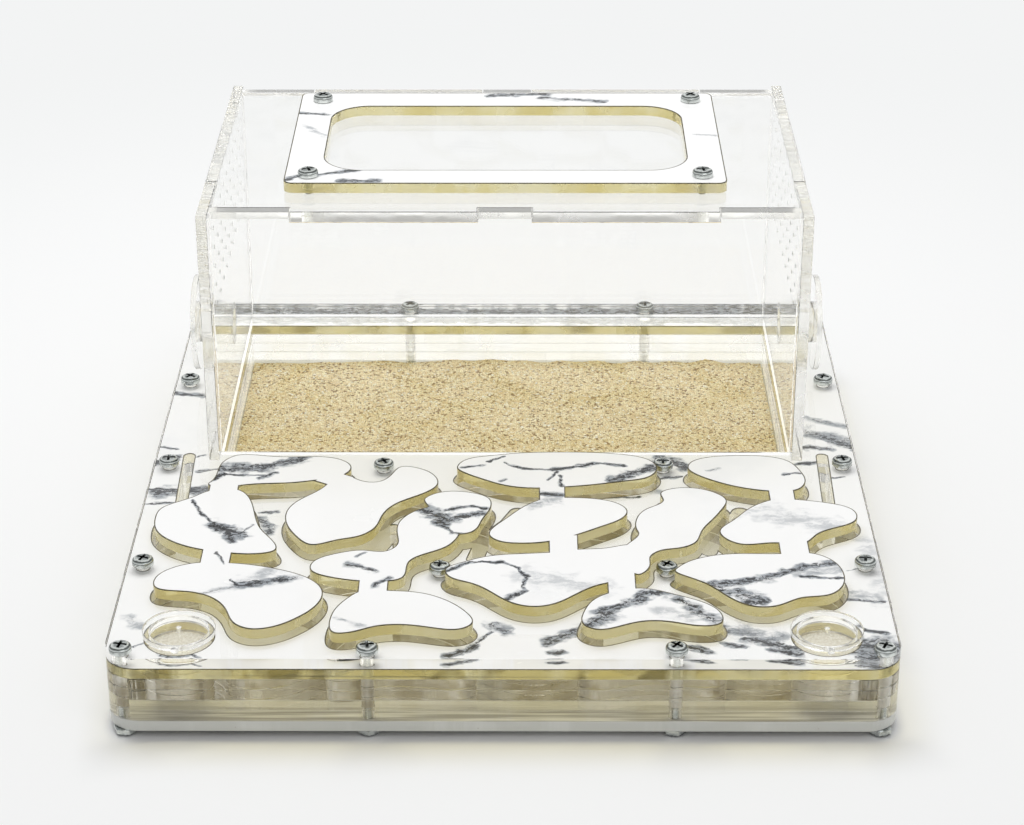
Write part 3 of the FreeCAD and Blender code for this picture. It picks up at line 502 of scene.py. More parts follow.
zincLook = {"light": (0.74, 0.77, 0.75), "mid": (0.27, 0.29, 0.285), "dark": (0.035, 0.04, 0.036),
            "bands": ((0.0, "light"), (0.12, "mid"), (0.24, "dark"), (0.36, "light"), (0.62, "mid"),
                      (0.80, "dark"), (0.92, "light"), (1.0, "mid")),
            "dull": (420.0, 4.0, 0.65), "wander": 0.35, "recessShade": 0.0012, "recessShadeRange": (0.25, 0.85),
            "roughRange": (0.3, 0.75, 0.16, 0.34), "bump": (0.3, 0.00006)}


def makeZinc():
    # bright plating with painted reflection bands, light and dark by how far each face turns up, like a room
    # reflected in it, and painted shade darkening its recess
    look = zincLook
    material, shader, place = newMaterial("zincSteel")
    dull = noise(place, *look["dull"])
    upward = axesOf(addNode(shader.id_data, "ShaderNodeNewGeometry").outputs["Normal"])["Z"]
    wander = times(mathNode("SUBTRACT", dull, 0.5), look["wander"])
    bands = ramp(mathNode("ADD", mathNode("ABSOLUTE", upward), wander), look, look["bands"])
    recessShade = addNode(shader.id_data, "ShaderNodeAmbientOcclusion", {"Distance": look["recessShade"]}, samples=8,
                      only_local=True)
    colour = mixColour(stretch(recessShade.outputs["AO"], *look["recessShadeRange"]), look["dark"], bands)
    dress(shader, colour, stretch(dull, *look["roughRange"]), dull, look["bump"], metal=1.0)
    return material


sandLook = {"pale": (1.0, 0.90, 0.60), "tan": (0.84, 0.68, 0.37), "brown": (0.30, 0.19, 0.07),
            "quartz": (1.0, 0.98, 0.86), "gap": (0.46, 0.34, 0.17), "creviceShadeRange": (0.10, 0.0), "cells": 1500.0,
            "tones": ((0.0, "brown"), (0.09, "brown"), (0.16, "tan"), (0.45, "tan"), (0.66, "pale"),
                      (0.90, "pale"), (1.0, "quartz")),
            "bedRough": 0.8, "bedBump": (0.9, 0.0004), "pits": (2500.0,), "grainRough": 0.55,
            "grainBump": (0.3, 0.0001)}


def makeSandBed():
    look = sandLook
    material, shader, place = newMaterial("sandBed")
    cells = voronoi(place, look["cells"])
    creviceShade = voronoi(place, look["cells"], "DISTANCE_TO_EDGE")["Distance"]
    colour = ramp(firstChannel(cells["Color"]), look, look["tones"])
    # painted shade: the cell edges are darkened to the gap colour, for the shade between grains
    colour = mixColour(stretch(creviceShade, *look["creviceShadeRange"]), colour, look["gap"])
    dress(shader, colour, look["bedRough"], cells["Distance"], look["bedBump"], invert=True)
    return material


def makeSandGrain():
    look = sandLook
    material, shader, place = newMaterial("sandGrain")
    tone = addNode(shader.id_data, "ShaderNodeAttribute", attribute_name="tone").outputs["Fac"]
    dress(shader, ramp(tone, look, look["tones"]), look["grainRough"],
          noise(place, *look["pits"]), look["grainBump"])
    return material


# veins in mm: x and y of both ends (y from the front edge), cloud width, line width, strength
baseVeins = [
    (-97.9, 115.4, -92.9, 114.2, 1, 0.5, 0.7), (-98, 105, -92.1, 109.3, 2.4, 0.6, 0.9),
    (-86.7, 109.3, -84.3, 110.5, 0.8, 0.4, 0.5), (-86.3, 100.8, -79, 102.6, 0.9, 0.5, 0.7),
    (-99.2, 90.2, -92, 90.2, 0.9, 0.5, 0.7), (-94.5, 88.4, -81.4, 90.8, 3.2, 0.5, 0.95),
    (-98.4, 82.1, -84.9, 82.7, 1, 0.5, 0.7), (-85.3, 83.8, -82.9, 82.1, 0.8, 0.4, 0.6),
    (-66.1, 76.5, -61.6, 77.6, 1.2, 0.5, 0.7), (-65.2, 72.5, -62, 66.5, 2.6, 0.2, 0.8),
    (-91.2, 7, -88, 9.3, 0.6, 0.3, 0.5), (-83.5, 4.6, -77.5, 4.2, 2.2, 0.4, 0.85),
    (-77.7, 6, -73.6, 2.3, 0.8, 0.5, 0.7), (-93.5, 20.8, -91, 17.4, 2.4, 0, 0.5),
    (-13.2, 3.4, -7.1, 8.1, 1.8, 0.8, 1), (-6.6, 9.5, -2.5, 14.7, 0.8, 0.4, 0.6),
    (-2.5, 18.6, 0.7, 15.2, 2.4, 0.3, 0.8), (11.4, 9.5, 18.7, 15.3, 2.8, 0.3, 0.9),
    (11.6, 3.9, 14.8, 4.9, 1.4, 0.5, 0.8), (15.8, 86.3, 25.9, 85.8, 1, 0.8, 1),
    (25.9, 85.8, 37.1, 86.4, 0.9, 0.6, 0.9), (43.1, 108.9, 50.9, 102.9, 3, 0.9, 1),
    (42.5, 96.9, 49, 98.1, 0.9, 0.5, 0.7), (37.1, 91, 43.8, 88.7, 2, 0, 0.45),
    (83.8, 115.7, 91.6, 114.5, 1.8, 0.9, 1), (90.1, 122, 98, 115.8, 2.6, 0.5, 0.95),
    (80.6, 104.7, 86.3, 106.6, 1.2, 0.7, 0.9), (85.9, 125.1, 96.8, 120.1, 4, 0, 0.6),
    (90, 96.4, 94.3, 97.6, 0.6, 0.5, 0.6), (87.8, 30.6, 96.7, 30.1, 1.2, 0.4, 0.75),
    (87.5, 34.6, 95.7, 30.6, 3.4, 0, 0.42), (88.9, 44.9, 91.4, 46.4, 0.5, 0.4, 0.5),
    (89.2, 15.9, 95.2, 14, 1.4, 0.7, 0.95), (86.9, 8.8, 98.3, 7.4, 4.4, 0.7, 1),
    (87.3, 3.2, 95.2, 1.8, 2.4, 0.8, 1), (55.1, 8.7, 60.2, 7.3, 1.4, 0.7, 0.9),
    (60.5, 12, 72.2, 7.3, 2.2, 0.7, 1), (65.8, 6.4, 73, 4.5, 1.4, 0.6, 0.9),
    (55.1, 16.8, 67.7, 12, 4.2, 0, 0.55), (46.2, 8.2, 50.2, 5.9, 2, 0.7, 0.9),
    (73.6, 11.1, 85.4, 6.4, 3, 0.3, 0.7), (94.9, 61.9, 97.8, 35.7, 4, 0, 0.3),
    (-98.6, 150.3, -88.7, 148.3, 1.8, 0.6, 0.8), (97.6, 209.4, 99.8, 194.4, 1.6, 0.7, 0.9),
    (86.7, 134.1, 97.7, 129, 2, 0.2, 0.55),
    (-88, 210.5, -10, 210, 6, 0, 0.9), (-70, 212, -35, 209.5, 2, 0.6, 1),
    (-12, 210, 24, 210, 6, 0, 0.95), (-4, 211, 18, 208.5, 2, 0.9, 1), (24, 210, 92, 210, 7, 0, 1),
    (20, 208, 44, 212, 3, 0.8, 1), (44, 210.5, 66, 208.5, 3, 0.9, 1), (64, 211, 90, 209, 3, 0.7, 1),
]
leftShadeVeins = [
    (-77.9, 94.5, -65.3, 95.7, 3.4, 0.5, 1), (-66.9, 95.1, -55.3, 101.2, 2.6, 0.5, 1),
    (-80.4, 87.4, -77, 91.6, 1.4, 0.9, 0.9), (-77, 91.6, -66.2, 90.4, 1, 0.5, 0.7),
    (-67.7, 88.6, -62.5, 92.2, 1, 0.35, 0.6), (-84, 75.9, -80.3, 68.6, 0.8, 0.5, 0.6),
    (-80.3, 68.6, -77, 62.5, 0.8, 0.5, 0.6), (-76.6, 61.9, -69.6, 57.6, 3, 0.9, 1),
    (-72.7, 59.2, -71, 53.3, 1.8, 0.9, 1), (-69.4, 58.1, -66.3, 62, 0.8, 0.35, 0.5),
    (-74.9, 47.4, -72.5, 41.6, 0.6, 0.55, 0.5), (-69.3, 32.9, -66.5, 30.4, 0.8, 1, 0.8),
    (-66, 30.4, -52.6, 34, 2.2, 0.45, 0.7), (-75.9, 26.3, -66, 30.9, 1.2, 0.25, 0.35),
    (-66.8, 30.9, -59.7, 37, 4, 0, 0.38),
]
midLeftShadeVeins = [
    (-28.9, 76, -24.3, 81.2, 1.2, 0.3, 0.5), (-21.5, 70.4, -15.2, 65.4, 3.6, 0.9, 1),
    (-18.1, 65.4, -15.7, 62.6, 2, 0.9, 1), (-15.9, 70.4, -9, 72.6, 1.2, 0.7, 0.8),
    (-9, 72.6, -5, 71.5, 1, 0.7, 0.7), (-13.1, 65.9, -6.5, 68.7, 2, 0.8, 0.9),
    (-17, 62.1, -14.2, 58.3, 1.2, 0.5, 0.8), (-14.2, 58.3, -8.4, 57.2, 1.2, 0.4, 0.6),
    (-40, 41.2, -33.4, 38.1, 1.8, 0.4, 0.75), (-37.4, 45.4, -35.7, 47, 1, 0.5, 0.7),
    (-33, 29.9, -29.4, 34, 1.4, 0.6, 0.7), (-41.9, 14.1, -35.7, 10.8, 1.6, 0, 0.45),
]
middleShadeVeins = [
    (-12.4, 95.8, -5.8, 97.1, 0.8, 0.5, 0.6), (-4.5, 98.9, 0.2, 101.9, 0.8, 0.8, 0.8),
    (0.2, 98.3, 4.9, 94.1, 0.7, 0.6, 0.7), (4.9, 94.1, 12.9, 94.1, 0.9, 0.5, 0.7),
    (12.1, 94.1, 26.1, 97.1, 1.2, 0.8, 1), (26.1, 97.1, 32.7, 96.5, 0.9, 0.6, 0.8),
    (14.5, 92.9, 11.5, 87.6, 0.8, 0.5, 0.7), (14.8, 90.6, 15.5, 84.7, 0.8, 0.5, 0.7),
    (29.2, 88.2, 39.3, 95.9, 2.6, 0.6, 1), (37, 93.6, 41.8, 95.4, 1.8, 0.6, 0.9),
    (-1.4, 87.6, 0.3, 88.8, 1, 0.3, 0.5), (9.2, 79.5, 15.7, 79.5, 1.6, 1, 1),
    (6.8, 73.8, 13.8, 76.1, 3, 0, 0.45), (-15.5, 37.6, -8.4, 42.3, 0.8, 0.5, 0.7),
    (-8.4, 42.3, -0.4, 41.8, 0.9, 0.6, 0.8), (-0.4, 41.8, 3.4, 39.2, 0.8, 0.5, 0.7),
    (3.4, 39.2, 5.7, 34.6, 0.8, 0.5, 0.8), (5.7, 34.6, 4.7, 29, 0.8, 0.4, 0.6),
    (0.2, 23.5, 5.2, 27.5, 1.4, 0.6, 0.9), (5.7, 35.1, 24.4, 29.1, 6, 0, 0.3),
    (33.7, 26.1, 42.8, 27.1, 2.8, 0.6, 1), (24.6, 18.1, 34.3, 24.1, 2.6, 0.3, 0.8),
    (21, 10.4, 27.1, 17.2, 3, 0.3, 0.75), (43.4, 24.1, 49.1, 19.2, 2.2, 0.3, 0.7),
    (46.6, 19.7, 54.2, 12.9, 3.2, 0.2, 0.62), (39.1, 18.2, 46.4, 15.3, 3, 0, 0.35),
]
rightShadeVeins = [
    (55.6, 92.4, 59.3, 94.8, 1, 0.2, 0.45), (76.3, 91.3, 81, 91.9, 0.8, 0.4, 0.6),
    (69.4, 69.4, 87.4, 61.2, 7, 0, 0.32), (51.3, 30.1, 60.8, 32.2, 3, 0.3, 0.8),
    (60.8, 32.2, 68.6, 35.2, 2.6, 0.5, 0.85), (68.6, 35.2, 77, 39.9, 2.2, 0.4, 0.8),
    (77, 39.9, 86, 42.5, 1.8, 0.4, 0.7), (76.5, 35.3, 87.1, 34.3, 1, 0.7, 0.9),
    (60.7, 21.2, 66.6, 23.2, 1.8, 0.8, 1), (53.7, 29.1, 64.3, 22.7, 3.4, 0, 0.7),
    (75.7, 37.3, 86.5, 38.4, 3, 0, 0.45),
]
lidVeins = [
    (-5.6, 192.8, 11.3, 193.7, 1.8, 0.4, 0.8), (9.8, 190.2, 29.2, 187.6, 1.8, 0.3, 0.75),
    (-60, 177.2, -52.7, 176.3, 1.4, 0.4, 0.75), (-58.1, 167.1, -51.4, 158.1, 1.6, 0, 0.4),
    (-60.4, 124.5, -54.6, 128.3, 1.6, 0.8, 1), (-54.5, 126.8, -37.3, 132.9, 1.4, 0.7, 1),
    (-45.6, 123.8, -34.4, 123.8, 1.6, 0.4, 0.8), (53.2, 159.8, 61.4, 158.2, 1, 0.2, 0.4),
]

up, across, along = (0, 0, 1), (0, 1, 0), (1, 0, 0)
clearSheet = makeAcrylic("clearAcrylic", up)
clearAcross = makeAcrylic("clearAcrylicAcross", across)
clearAlong = makeAcrylic("clearAcrylicAlong", along)
sawnNest = makeSawn("sawnNestEdge", up, "nest")
sawnSheet = makeSawn("sawnSheetEdge", up, "wall")
sawnCap = makeSawn("sawnCapEdge", up, "side")
sawnRim = makeSawn("sawnRimEdge", up, "rim")
sawnAcross = makeSawn("sawnWallAcross", across, "wall")
sawnAlong = makeSawn("sawnWallAlong", along, "side")
amberShade = makeAmber("amberAcrylicShade", "shade")
amberStackShaded = makeAmber("amberAcrylicStackShaded", "stack")

# one marble finish holds a few dozen veins, so the large film has four fields, in mm
everywhere = ((-999, 999), (-999, 999))
baseFields = {"Left": ((-999, -40), (-999, 170)), "Middle": ((-40, 53), (-999, 170)),
              "Right": ((53, 999), (-999, 170)), "Rear": ((-999, 999), (170, 999))}


def veinsNear(veins, field, reach=4.0):
    # the veins whose clouds come into a field
    (left, right), (front, rear) = field
    kept = []
    for vein in veins:
        x0, y0, x1, y1, wide = vein[:5]
        spread = wide * veinLook["cloud"] + reach
        if max(x0, x1) + spread > left and min(x0, x1) - spread < right:
            if max(y0, y1) + spread > front and min(y0, y1) - spread < rear:
                kept.append(vein)
    return kept


marbles = {"marble_film": [(field, makeMarble("marbleFilm" + word, veinsNear(baseVeins, field)))
                           for word, field in baseFields.items()]}
for filmNode, word, veins in (("shade_left_film", "ShadeLeft", leftShadeVeins),
                              ("shade_mid_left_film", "ShadeMidLeft", midLeftShadeVeins),
                              ("shade_middle_film", "ShadeMiddle", middleShadeVeins),
                              ("shade_right_film", "ShadeRight", rightShadeVeins),
                              ("lid_frame_film", "Lid", lidVeins)):
    marbles[filmNode] = [(everywhere, makeMarble("marbleFilm" + word, veins))]
burntRim = makeMottled("burntRim")
milky = makeMilky()
bumper = makeBumper()
zinc = makeZinc()
felt = makeMottled("beigeFelt")
sandBedFinish = makeSandBed()
sandGrainFinish = makeSandGrain()
print("finishes ready")


# Helpers for meshes and objects
def addObject(name, data):
    thing = bpy.data.objects.new(name, data)
    scene.collection.objects.link(thing)
    return thing


def evaluatedMesh(thing):
    return bpy.data.meshes.new_from_object(thing.evaluated_get(bpy.context.evaluated_depsgraph_get()))


def opened(*meshes):
    work = bmesh.new()
    for mesh in meshes:
        work.from_mesh(mesh)
    return work


def closed(work, mesh):
    work.to_mesh(mesh)
    work.free()
    return mesh


def meshFrom(work, name):
    # a mesh in metres from shapes drawn in mm
    bmesh.ops.recalc_face_normals(work, faces=work.faces)
    for vertex in work.verts:
        vertex.co *= mm
    return closed(work, bpy.data.meshes.new(name))


def smoothShaded(mesh, angle):
    mesh.shade_smooth()
    mesh.set_sharp_from_angle(angle=math.radians(angle))


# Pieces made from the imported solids
bodyOf = {node: body for body, nodes in frame["record"]["behaviour"]["bodies"].items() for node in nodes}
solidLook = {"weld": 2e-6, "flat": 0.3}  # metres and degrees


def mergedCopy(node, name):
    mesh = frame["nodes"][node].data.copy()
    mesh.name = name
    mesh.materials.clear()
    work = opened(mesh)
    bmesh.ops.remove_doubles(work, verts=work.verts, dist=solidLook["weld"])
    flat = math.radians(solidLook["flat"])
    bmesh.ops.dissolve_limit(work, angle_limit=flat, verts=work.verts, edges=work.edges)
    return closed(work, mesh)


def settled(thing, name, material, node):
    # the finished mesh, on its body and in place of its node
    mesh = evaluatedMesh(thing)
    rough = thing.data
    bpy.data.objects.remove(thing)
    bpy.data.meshes.remove(rough)
    mesh.name = name
    piece = addObject(name, mesh)
    if material is not None:
        mesh.materials.clear()
        mesh.materials.append(material)
    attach(piece, bodyOf[node])
    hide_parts(node)
    return piece


# lengths in mm and angles in degrees, but close in metres and bend in radians; gap and touch move a face,
# and pitFrom counts from the front edge
plateLook = {"round": 0.12, "gap": -0.03, "touch": 0.04, "sharp": 40, "smooth": 27, "flat": 2.5,
             "outside": 0.5, "corner": 8.0, "pitFrom": 107.0, "way": 2.3, "close": 1e-5, "bend": 0.01,
             "cutFace": 0.5}


def crispFlats(mesh):
    # flat faces keep their own normal right up to the softened edges
    work = opened(mesh)
    for edge in work.edges:
        if len(edge.link_faces) == 2 and edge.calc_face_angle(0) > plateLook["bend"]:
            if max(face.calc_area() for face in edge.link_faces) > plateLook["flat"] * mm ** 2:
                edge.smooth = False
    closed(work, mesh)


def pieceName(node):
    words = node.split("_")
    return words[0] + "".join(word.capitalize() for word in words[1:])


def outlineDepth(x, y):
    # how far a place lies inside the rounded outline of the stack
    low, high = cadBounds
    corner = plateLook["corner"] * mm
    dx = abs(x - (low[0] + high[0]) / 2) - (high[0] - low[0]) / 2 + corner
    dy = abs(y - (low[1] + high[1]) / 2) - (high[1] - low[1]) / 2 + corner
    return corner - math.hypot(max(dx, 0), max(dy, 0)) - min(max(dx, dy), 0)


# the ways between chambers and out to the arena, as places in mm; their cut faces take the bright finish with
# its painted glow
glowingWays = [[(-46.5, 49.6), (-38.5, 53.2), (-32.8, 57), (-30.8, 62), (-29.6, 68)],
              [(-7.6, 51.5), (-6.2, 58), (-3.1, 65), (0.9, 71), (3.5, 77.3)],
              [(53.8, 55.5), (54.6, 59.5), (58.1, 66), (61.3, 72.5), (63.5, 77.5)],
              [(-87.6, 75), (-88.8, 110)], [(87.6, 74), (88.8, 110)]]


def beside(x, y, way, reach):
    for (x0, y0), (x1, y1) in zip(way, way[1:]):
        length = math.hypot(x1 - x0, y1 - y0)
        ahead = ((x - x0) * (x1 - x0) + (y - y0) * (y1 - y0)) / length
        aside = abs((x - x0) * (y1 - y0) - (y - y0) * (x1 - x0)) / length
        if -reach < ahead < length + reach and aside < reach:
            return True
    return False


def coatEdges(piece, cut, thinAxis, inner=False, bright=None, pit=False):
    # cut faces take their own finish; with inner set, the outer edges of the stack stay clear; faces in the
    # ways, and with pit set those behind the pit's front, take the bright finish and its painted glow
    mesh, look = piece.data, plateLook
    mesh.materials.append(cut)
    if bright is not None:
        mesh.materials.append(bright)
    for face in mesh.polygons:
        if abs(face.normal[thinAxis]) > look["cutFace"]:
            continue
        if inner and outlineDepth(face.center.x, face.center.y) < look["outside"] * mm:
            continue
        x, y = face.center.x / mm, (face.center.y - frontEdge) / mm
        inWay = any(beside(x, y, way, look["way"]) for way in glowingWays)
        face.material_index = 2 if bright is not None and (inWay or pit and y > look["pitFrom"]) else 1


def plate(node, material, slotName, under="gap", over="gap", sides="none", rounding=None, rest=None,
          **edges):
    # a copy of the solid with softened edges; its faces stop just short of a neighbour, or go into it
    look = plateLook
    mesh = mergedCopy(node, pieceName(node) + "Rough")
    low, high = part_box(node)
    moves = [[look.get(word, 0) for word in pair] for pair in ((sides, sides), (sides, sides), (under, over))]
    for vertex in mesh.vertices:
        for axis in range(3):
            if abs(vertex.co[axis] - low[axis]) < look["close"]:
                vertex.co[axis] -= moves[axis][0] * mm
            elif abs(vertex.co[axis] - high[axis]) < look["close"]:
                vertex.co[axis] += moves[axis][1] * mm
            elif axis == 2 and rest is not None and abs(vertex.co.z - rest) < look["close"]:
                vertex.co.z -= look["gap"] * mm  # a flange that lies on a sheet
    thing = addObject(pieceName(node) + "Rough", mesh)
    bevel = thing.modifiers.new("softEdges", "BEVEL")
    bevel.width = (rounding or look["round"]) * mm
    bevel.segments = 1 if rounding is None else 4
    bevel.limit_method = "ANGLE"
    bevel.angle_limit = math.radians(look["sharp"])
    bevel.use_clamp_overlap = False
    piece = settled(thing, pieceName(node), material, node)
    smoothShaded(piece.data, look["smooth"])
    crispFlats(piece.data)
    if edges:
        spans = [high[axis] - low[axis] for axis in range(3)]
        coatEdges(piece, thinAxis=spans.index(min(spans)), **edges)


nestEdges = {"cut": sawnNest, "inner": True, "bright": sawnSheet, "pit": True}
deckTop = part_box("cover_plate")[1].z
plate("bottom_plate", milky, "milky_acrylic", "none", "none")
plate("chamber_sheet_1", clearSheet, "clear_acrylic", "touch", "touch")
plate("chamber_sheet_2", clearSheet, "clear_acrylic", "none", **nestEdges)
plate("chamber_sheet_3", clearSheet, "clear_acrylic", **nestEdges)
plate("chamber_sheet_4", clearSheet, "clear_acrylic", **nestEdges)
plate("cover_plate", clearSheet, "clear_acrylic", "touch", "none", cut=sawnSheet, inner=True,
      bright=sawnRim, pit=True)
plate("marble_plate", amberStackShaded, "amber_acrylic", over="touch", cut=amberShade, inner=True,
      bright=sawnSheet)
for node in ("shade_left", "shade_mid_left", "shade_middle", "shade_right", "lid_frame"):
    plate(node, amberShade, "amber_acrylic", over="touch")
plate("lid_plate", clearSheet, "clear_acrylic", cut=sawnSheet)
for tag in ("front", "back"):
    plate(f"arena_{tag}_wall", clearAcross, "clear_acrylic", sides="gap", cut=sawnAcross)
for tag in ("left", "right"):
    plate(f"arena_{tag}_wall", clearAlong, "clear_acrylic", sides="gap", cut=sawnAlong)
    plate(f"port_tube_{tag}", clearAlong, "clear_acrylic", "none", "none", "gap")
    plate(f"port_cap_{tag}", clearAlong, "clear_acrylic", "none", "none", cut=sawnAlong)
    plate(f"water_cap_{tag}", clearSheet, "clear_acrylic", "none", "none", cut=sawnCap, rest=deckTop)
    plate(f"moisture_pad_{tag}", felt, "beige_pad", rounding=0.5)
plate("feet", bumper, "clear_bumper", "none", "none", rounding=0.25)
print("sheets, walls and caps ready")

# rim and far in mm, close in metres; top and side are parts of a face's normal
filmLook = {"rim": 0.28, "top": 0.9, "side": 0.5, "far": 500, "close": 1e-6}


def film(node):
    # the film with a narrow burnt rim round its outline and holes, and one finish for each field
    look = filmLook
    mesh = mergedCopy(node, pieceName(node) + "Rough")
    work = opened(mesh)
    fields = marbles[node]
    ends = {(axis, place) for field, finish in fields for axis in (0, 1) for place in field[axis]}
    for axis, place in ends:
        if abs(place) < look["far"]:
            point, normal = [0, 0, 0], [0, 0, 0]
            point[axis], normal[axis] = place * mm + (frontEdge if axis else 0), 1
            everything = work.verts[:] + work.edges[:] + work.faces[:]
            bmesh.ops.bisect_plane(work, geom=everything, dist=look["close"], plane_co=point,
                                   plane_no=normal)
    work.normal_update()
    top = [face for face in work.faces if face.normal.z > look["top"]]
    rim = bmesh.ops.inset_region(work, faces=top, thickness=look["rim"] * mm, use_even_offset=True,
                                 use_boundary=True)
    burnt = set(rim["faces"])
    for face in work.faces:
        middle = face.calc_center_median()
        spot = (middle.x / mm, (middle.y - frontEdge) / mm)
        face.material_index = 0
        for index, (field, finish) in enumerate(fields):
            if all(field[axis][0] <= spot[axis] < field[axis][1] for axis in (0, 1)):
                face.material_index = index
        if face in burnt or abs(face.normal.z) < look["side"]:
            face.material_index = len(fields)
    thing = addObject(pieceName(node) + "Rough", closed(work, mesh))
    piece = settled(thing, pieceName(node), None, node)
    for field, finish in fields:
        piece.data.materials.append(finish)
    piece.data.materials.append(burntRim)


for filmNode in marbles:
    film(filmNode)
print("films ready")


# Screws and nuts, in mm
def islandPlaces(node):
    # the middle of each loose solid of a node, seen from above
    work = opened(frame["nodes"][node].data)
    bmesh.ops.remove_doubles(work, verts=work.verts, dist=solidLook["weld"])
    seen, places = set(), []
    for start in work.verts:
        if start in seen:
            continue
        island, queue = [], [start]
        seen.add(start)
        while queue:
            vertex = queue.pop()
            island.append(vertex.co.copy())
            for edge in vertex.link_edges:
                other = edge.other_vert(vertex)
                if other not in seen:
                    seen.add(other)
                    queue.append(other)
        middle = [(min(c[a] for c in island) + max(c[a] for c in island)) / 2 for a in (0, 1)]
        places.append(Vector(middle + [0]))
    work.free()
    return sorted(places, key=lambda p: (round(p.y, 5), round(p.x, 5)))


def addRing(work, sides, z, radiusAt):
    # a ring of corners; the radius may change along the turn, which goes from 0 to 1
    corners = []
    for side in range(sides):
        angle, radius = 2 * math.pi * (side / sides), radiusAt(side / sides)
        corners.append(work.verts.new((radius * math.cos(angle), radius * math.sin(angle), z)))
    return corners


def bridge(work, rings, capped=True):
    for low, high in zip(rings, rings[1:]):
        for side in range(len(low)):
            other = (side + 1) % len(low)
            work.faces.new((low[side], low[other], high[other], high[side]))
    if capped:
        work.faces.new(list(reversed(rings[0])))
        work.faces.new(rings[-1])


screwLook = {"shank": 1.5, "thread": 0.16, "pitch": 0.5, "steps": 4, "sides": 16, "into": 0.4, "point": 0.62,
             "head": 2.8, "headHeight": 2.2, "headSides": 32, "brim": 1.1, "softUnder": (0.12, 0.14),
             "crown": 0.32, "domeRows": 8, "recess": 3.2, "recessWide": 0.72, "recessDeep": 1.15,
             "above": 0.4, "floor": (0.42, 0.75), "mouth": (0.62, 1.15), "smooth": 32,
             "baseTip": 0.4, "lidTip": 0.9}


def screwMesh(name, length, tip):
    # pan-head screw with a cross recess; the underside of its head is at height 0
    look = screwLook
    work = bmesh.new()
    span = length + look["into"]
    rows = int(round(span / (look["pitch"] / look["steps"])))
    rings = []
    for row in range(rows + 1):
        z = -length + span * row / rows
        closing = look["point"] + (1 - look["point"]) * min(1.0, (z + length) / tip)

        def thread(turn):
            wave = abs(((z / look["pitch"] - turn) % 1.0) * 2 - 1)
            return (look["shank"] - look["thread"] * (1 - wave)) * closing

        rings.append(addRing(work, look["sides"], z, thread))
    bridge(work, rings)
    shank = meshFrom(work, name + "Shank")
    rise = look["headHeight"] - look["brim"]
    dome = [(look["head"] - look["softUnder"][0], 0.0), (look["head"], look["softUnder"][1]),
            (look["head"], look["brim"])]
    for row in range(1, look["domeRows"]):
        angle = math.radians(90 * row / look["domeRows"])
        dome.append((look["head"] * (look["crown"] + (1 - look["crown"]) * math.cos(angle)),
                     look["brim"] + rise * math.sin(angle)))
    work = bmesh.new()
    bridge(work, [addRing(work, look["headSides"], z, lambda turn: radius) for radius, z in dome])
    head = addObject(name + "Head", meshFrom(work, name + "Head"))
    bars = [recessBar(name, turned) for turned in (0, 1)]
    for bar in bars:
        dig = head.modifiers.new("recess", "BOOLEAN")
        dig.object, dig.operation, dig.solver = bar, "DIFFERENCE", "EXACT"
    dug = evaluatedMesh(head)
    for thing in [head] + bars:
        bpy.data.objects.remove(thing)
    finished = closed(opened(dug, shank), bpy.data.meshes.new(name))
    smoothShaded(finished, look["smooth"])
    return addObject(name, finished)


def recessBar(name, turned):
    # one tapered bar of the cross, wider at its mouth
    look = screwLook
    work = bmesh.new()
    corners = []
    for above, (reach, wide) in ((-look["recessDeep"], look["floor"]), (look["above"], look["mouth"])):
        z = look["headHeight"] + above
        for sx, sy in ((-1, -1), (1, -1), (1, 1), (-1, 1)):
            x, y = sx * look["recess"] * reach, sy * look["recessWide"] * wide / 2
            corners.append(work.verts.new((y, x, z) if turned else (x, y, z)))
    for face in ((3, 2, 1, 0), (4, 5, 6, 7), (0, 1, 5, 4), (1, 2, 6, 5), (2, 3, 7, 6), (3, 0, 4, 7)):
        work.faces.new([corners[i] for i in face])
    return addObject(name + "Bar", meshFrom(work, name + "Bar"))


nutLook = {"flats": 5.5, "height": 1.8, "bore": 1.55, "chamfer": 0.18, "sides": 24, "smooth": 25}


def nutMesh(name):
    # hexagon nut with both faces chamfered round the corners
    look = nutLook
    work = bmesh.new()
    flat, corner, height = look["flats"] / 2, look["flats"] / math.sqrt(3), look["height"]

    def hexagon(z, limit):
        def radius(turn):
            local = (2 * math.pi * turn + math.pi / 6) % (math.pi / 3) - math.pi / 6
            return min(flat / math.cos(local), limit)
        return addRing(work, look["sides"], z, radius)

    rings = [hexagon(0, flat), hexagon(look["chamfer"] * height, corner),
             hexagon((1 - look["chamfer"]) * height, corner), hexagon(height, flat)]
    inner = [addRing(work, look["sides"], z, lambda turn: look["bore"]) for z in (0, height)]
    bridge(work, rings + [inner[1], inner[0], rings[0]], capped=False)
    mesh = meshFrom(work, name)
    smoothShaded(mesh, look["smooth"])
    return addObject(name, mesh)


# Geometry Nodes
def newGeometryTree(name, inputs):
    tree = bpy.data.node_groups.new(name, "GeometryNodeTree")
    for label, kind in {"Geometry": "Geometry", **inputs}.items():
        tree.interface.new_socket(label, in_out="INPUT", socket_type="NodeSocket" + kind)
    tree.interface.new_socket("Geometry", in_out="OUTPUT", socket_type="NodeSocketGeometry")
    return tree, addNode(tree, "NodeGroupInput").outputs


def endTree(tree, instances, finish):
    real = addNode(tree, "GeometryNodeRealizeInstances", {0: instances})
    coat = addNode(tree, "GeometryNodeSetMaterial", {"Geometry": real.outputs[0], "Material": finish})
    addNode(tree, "NodeGroupOutput", {0: coat.outputs[0]})
    return tree


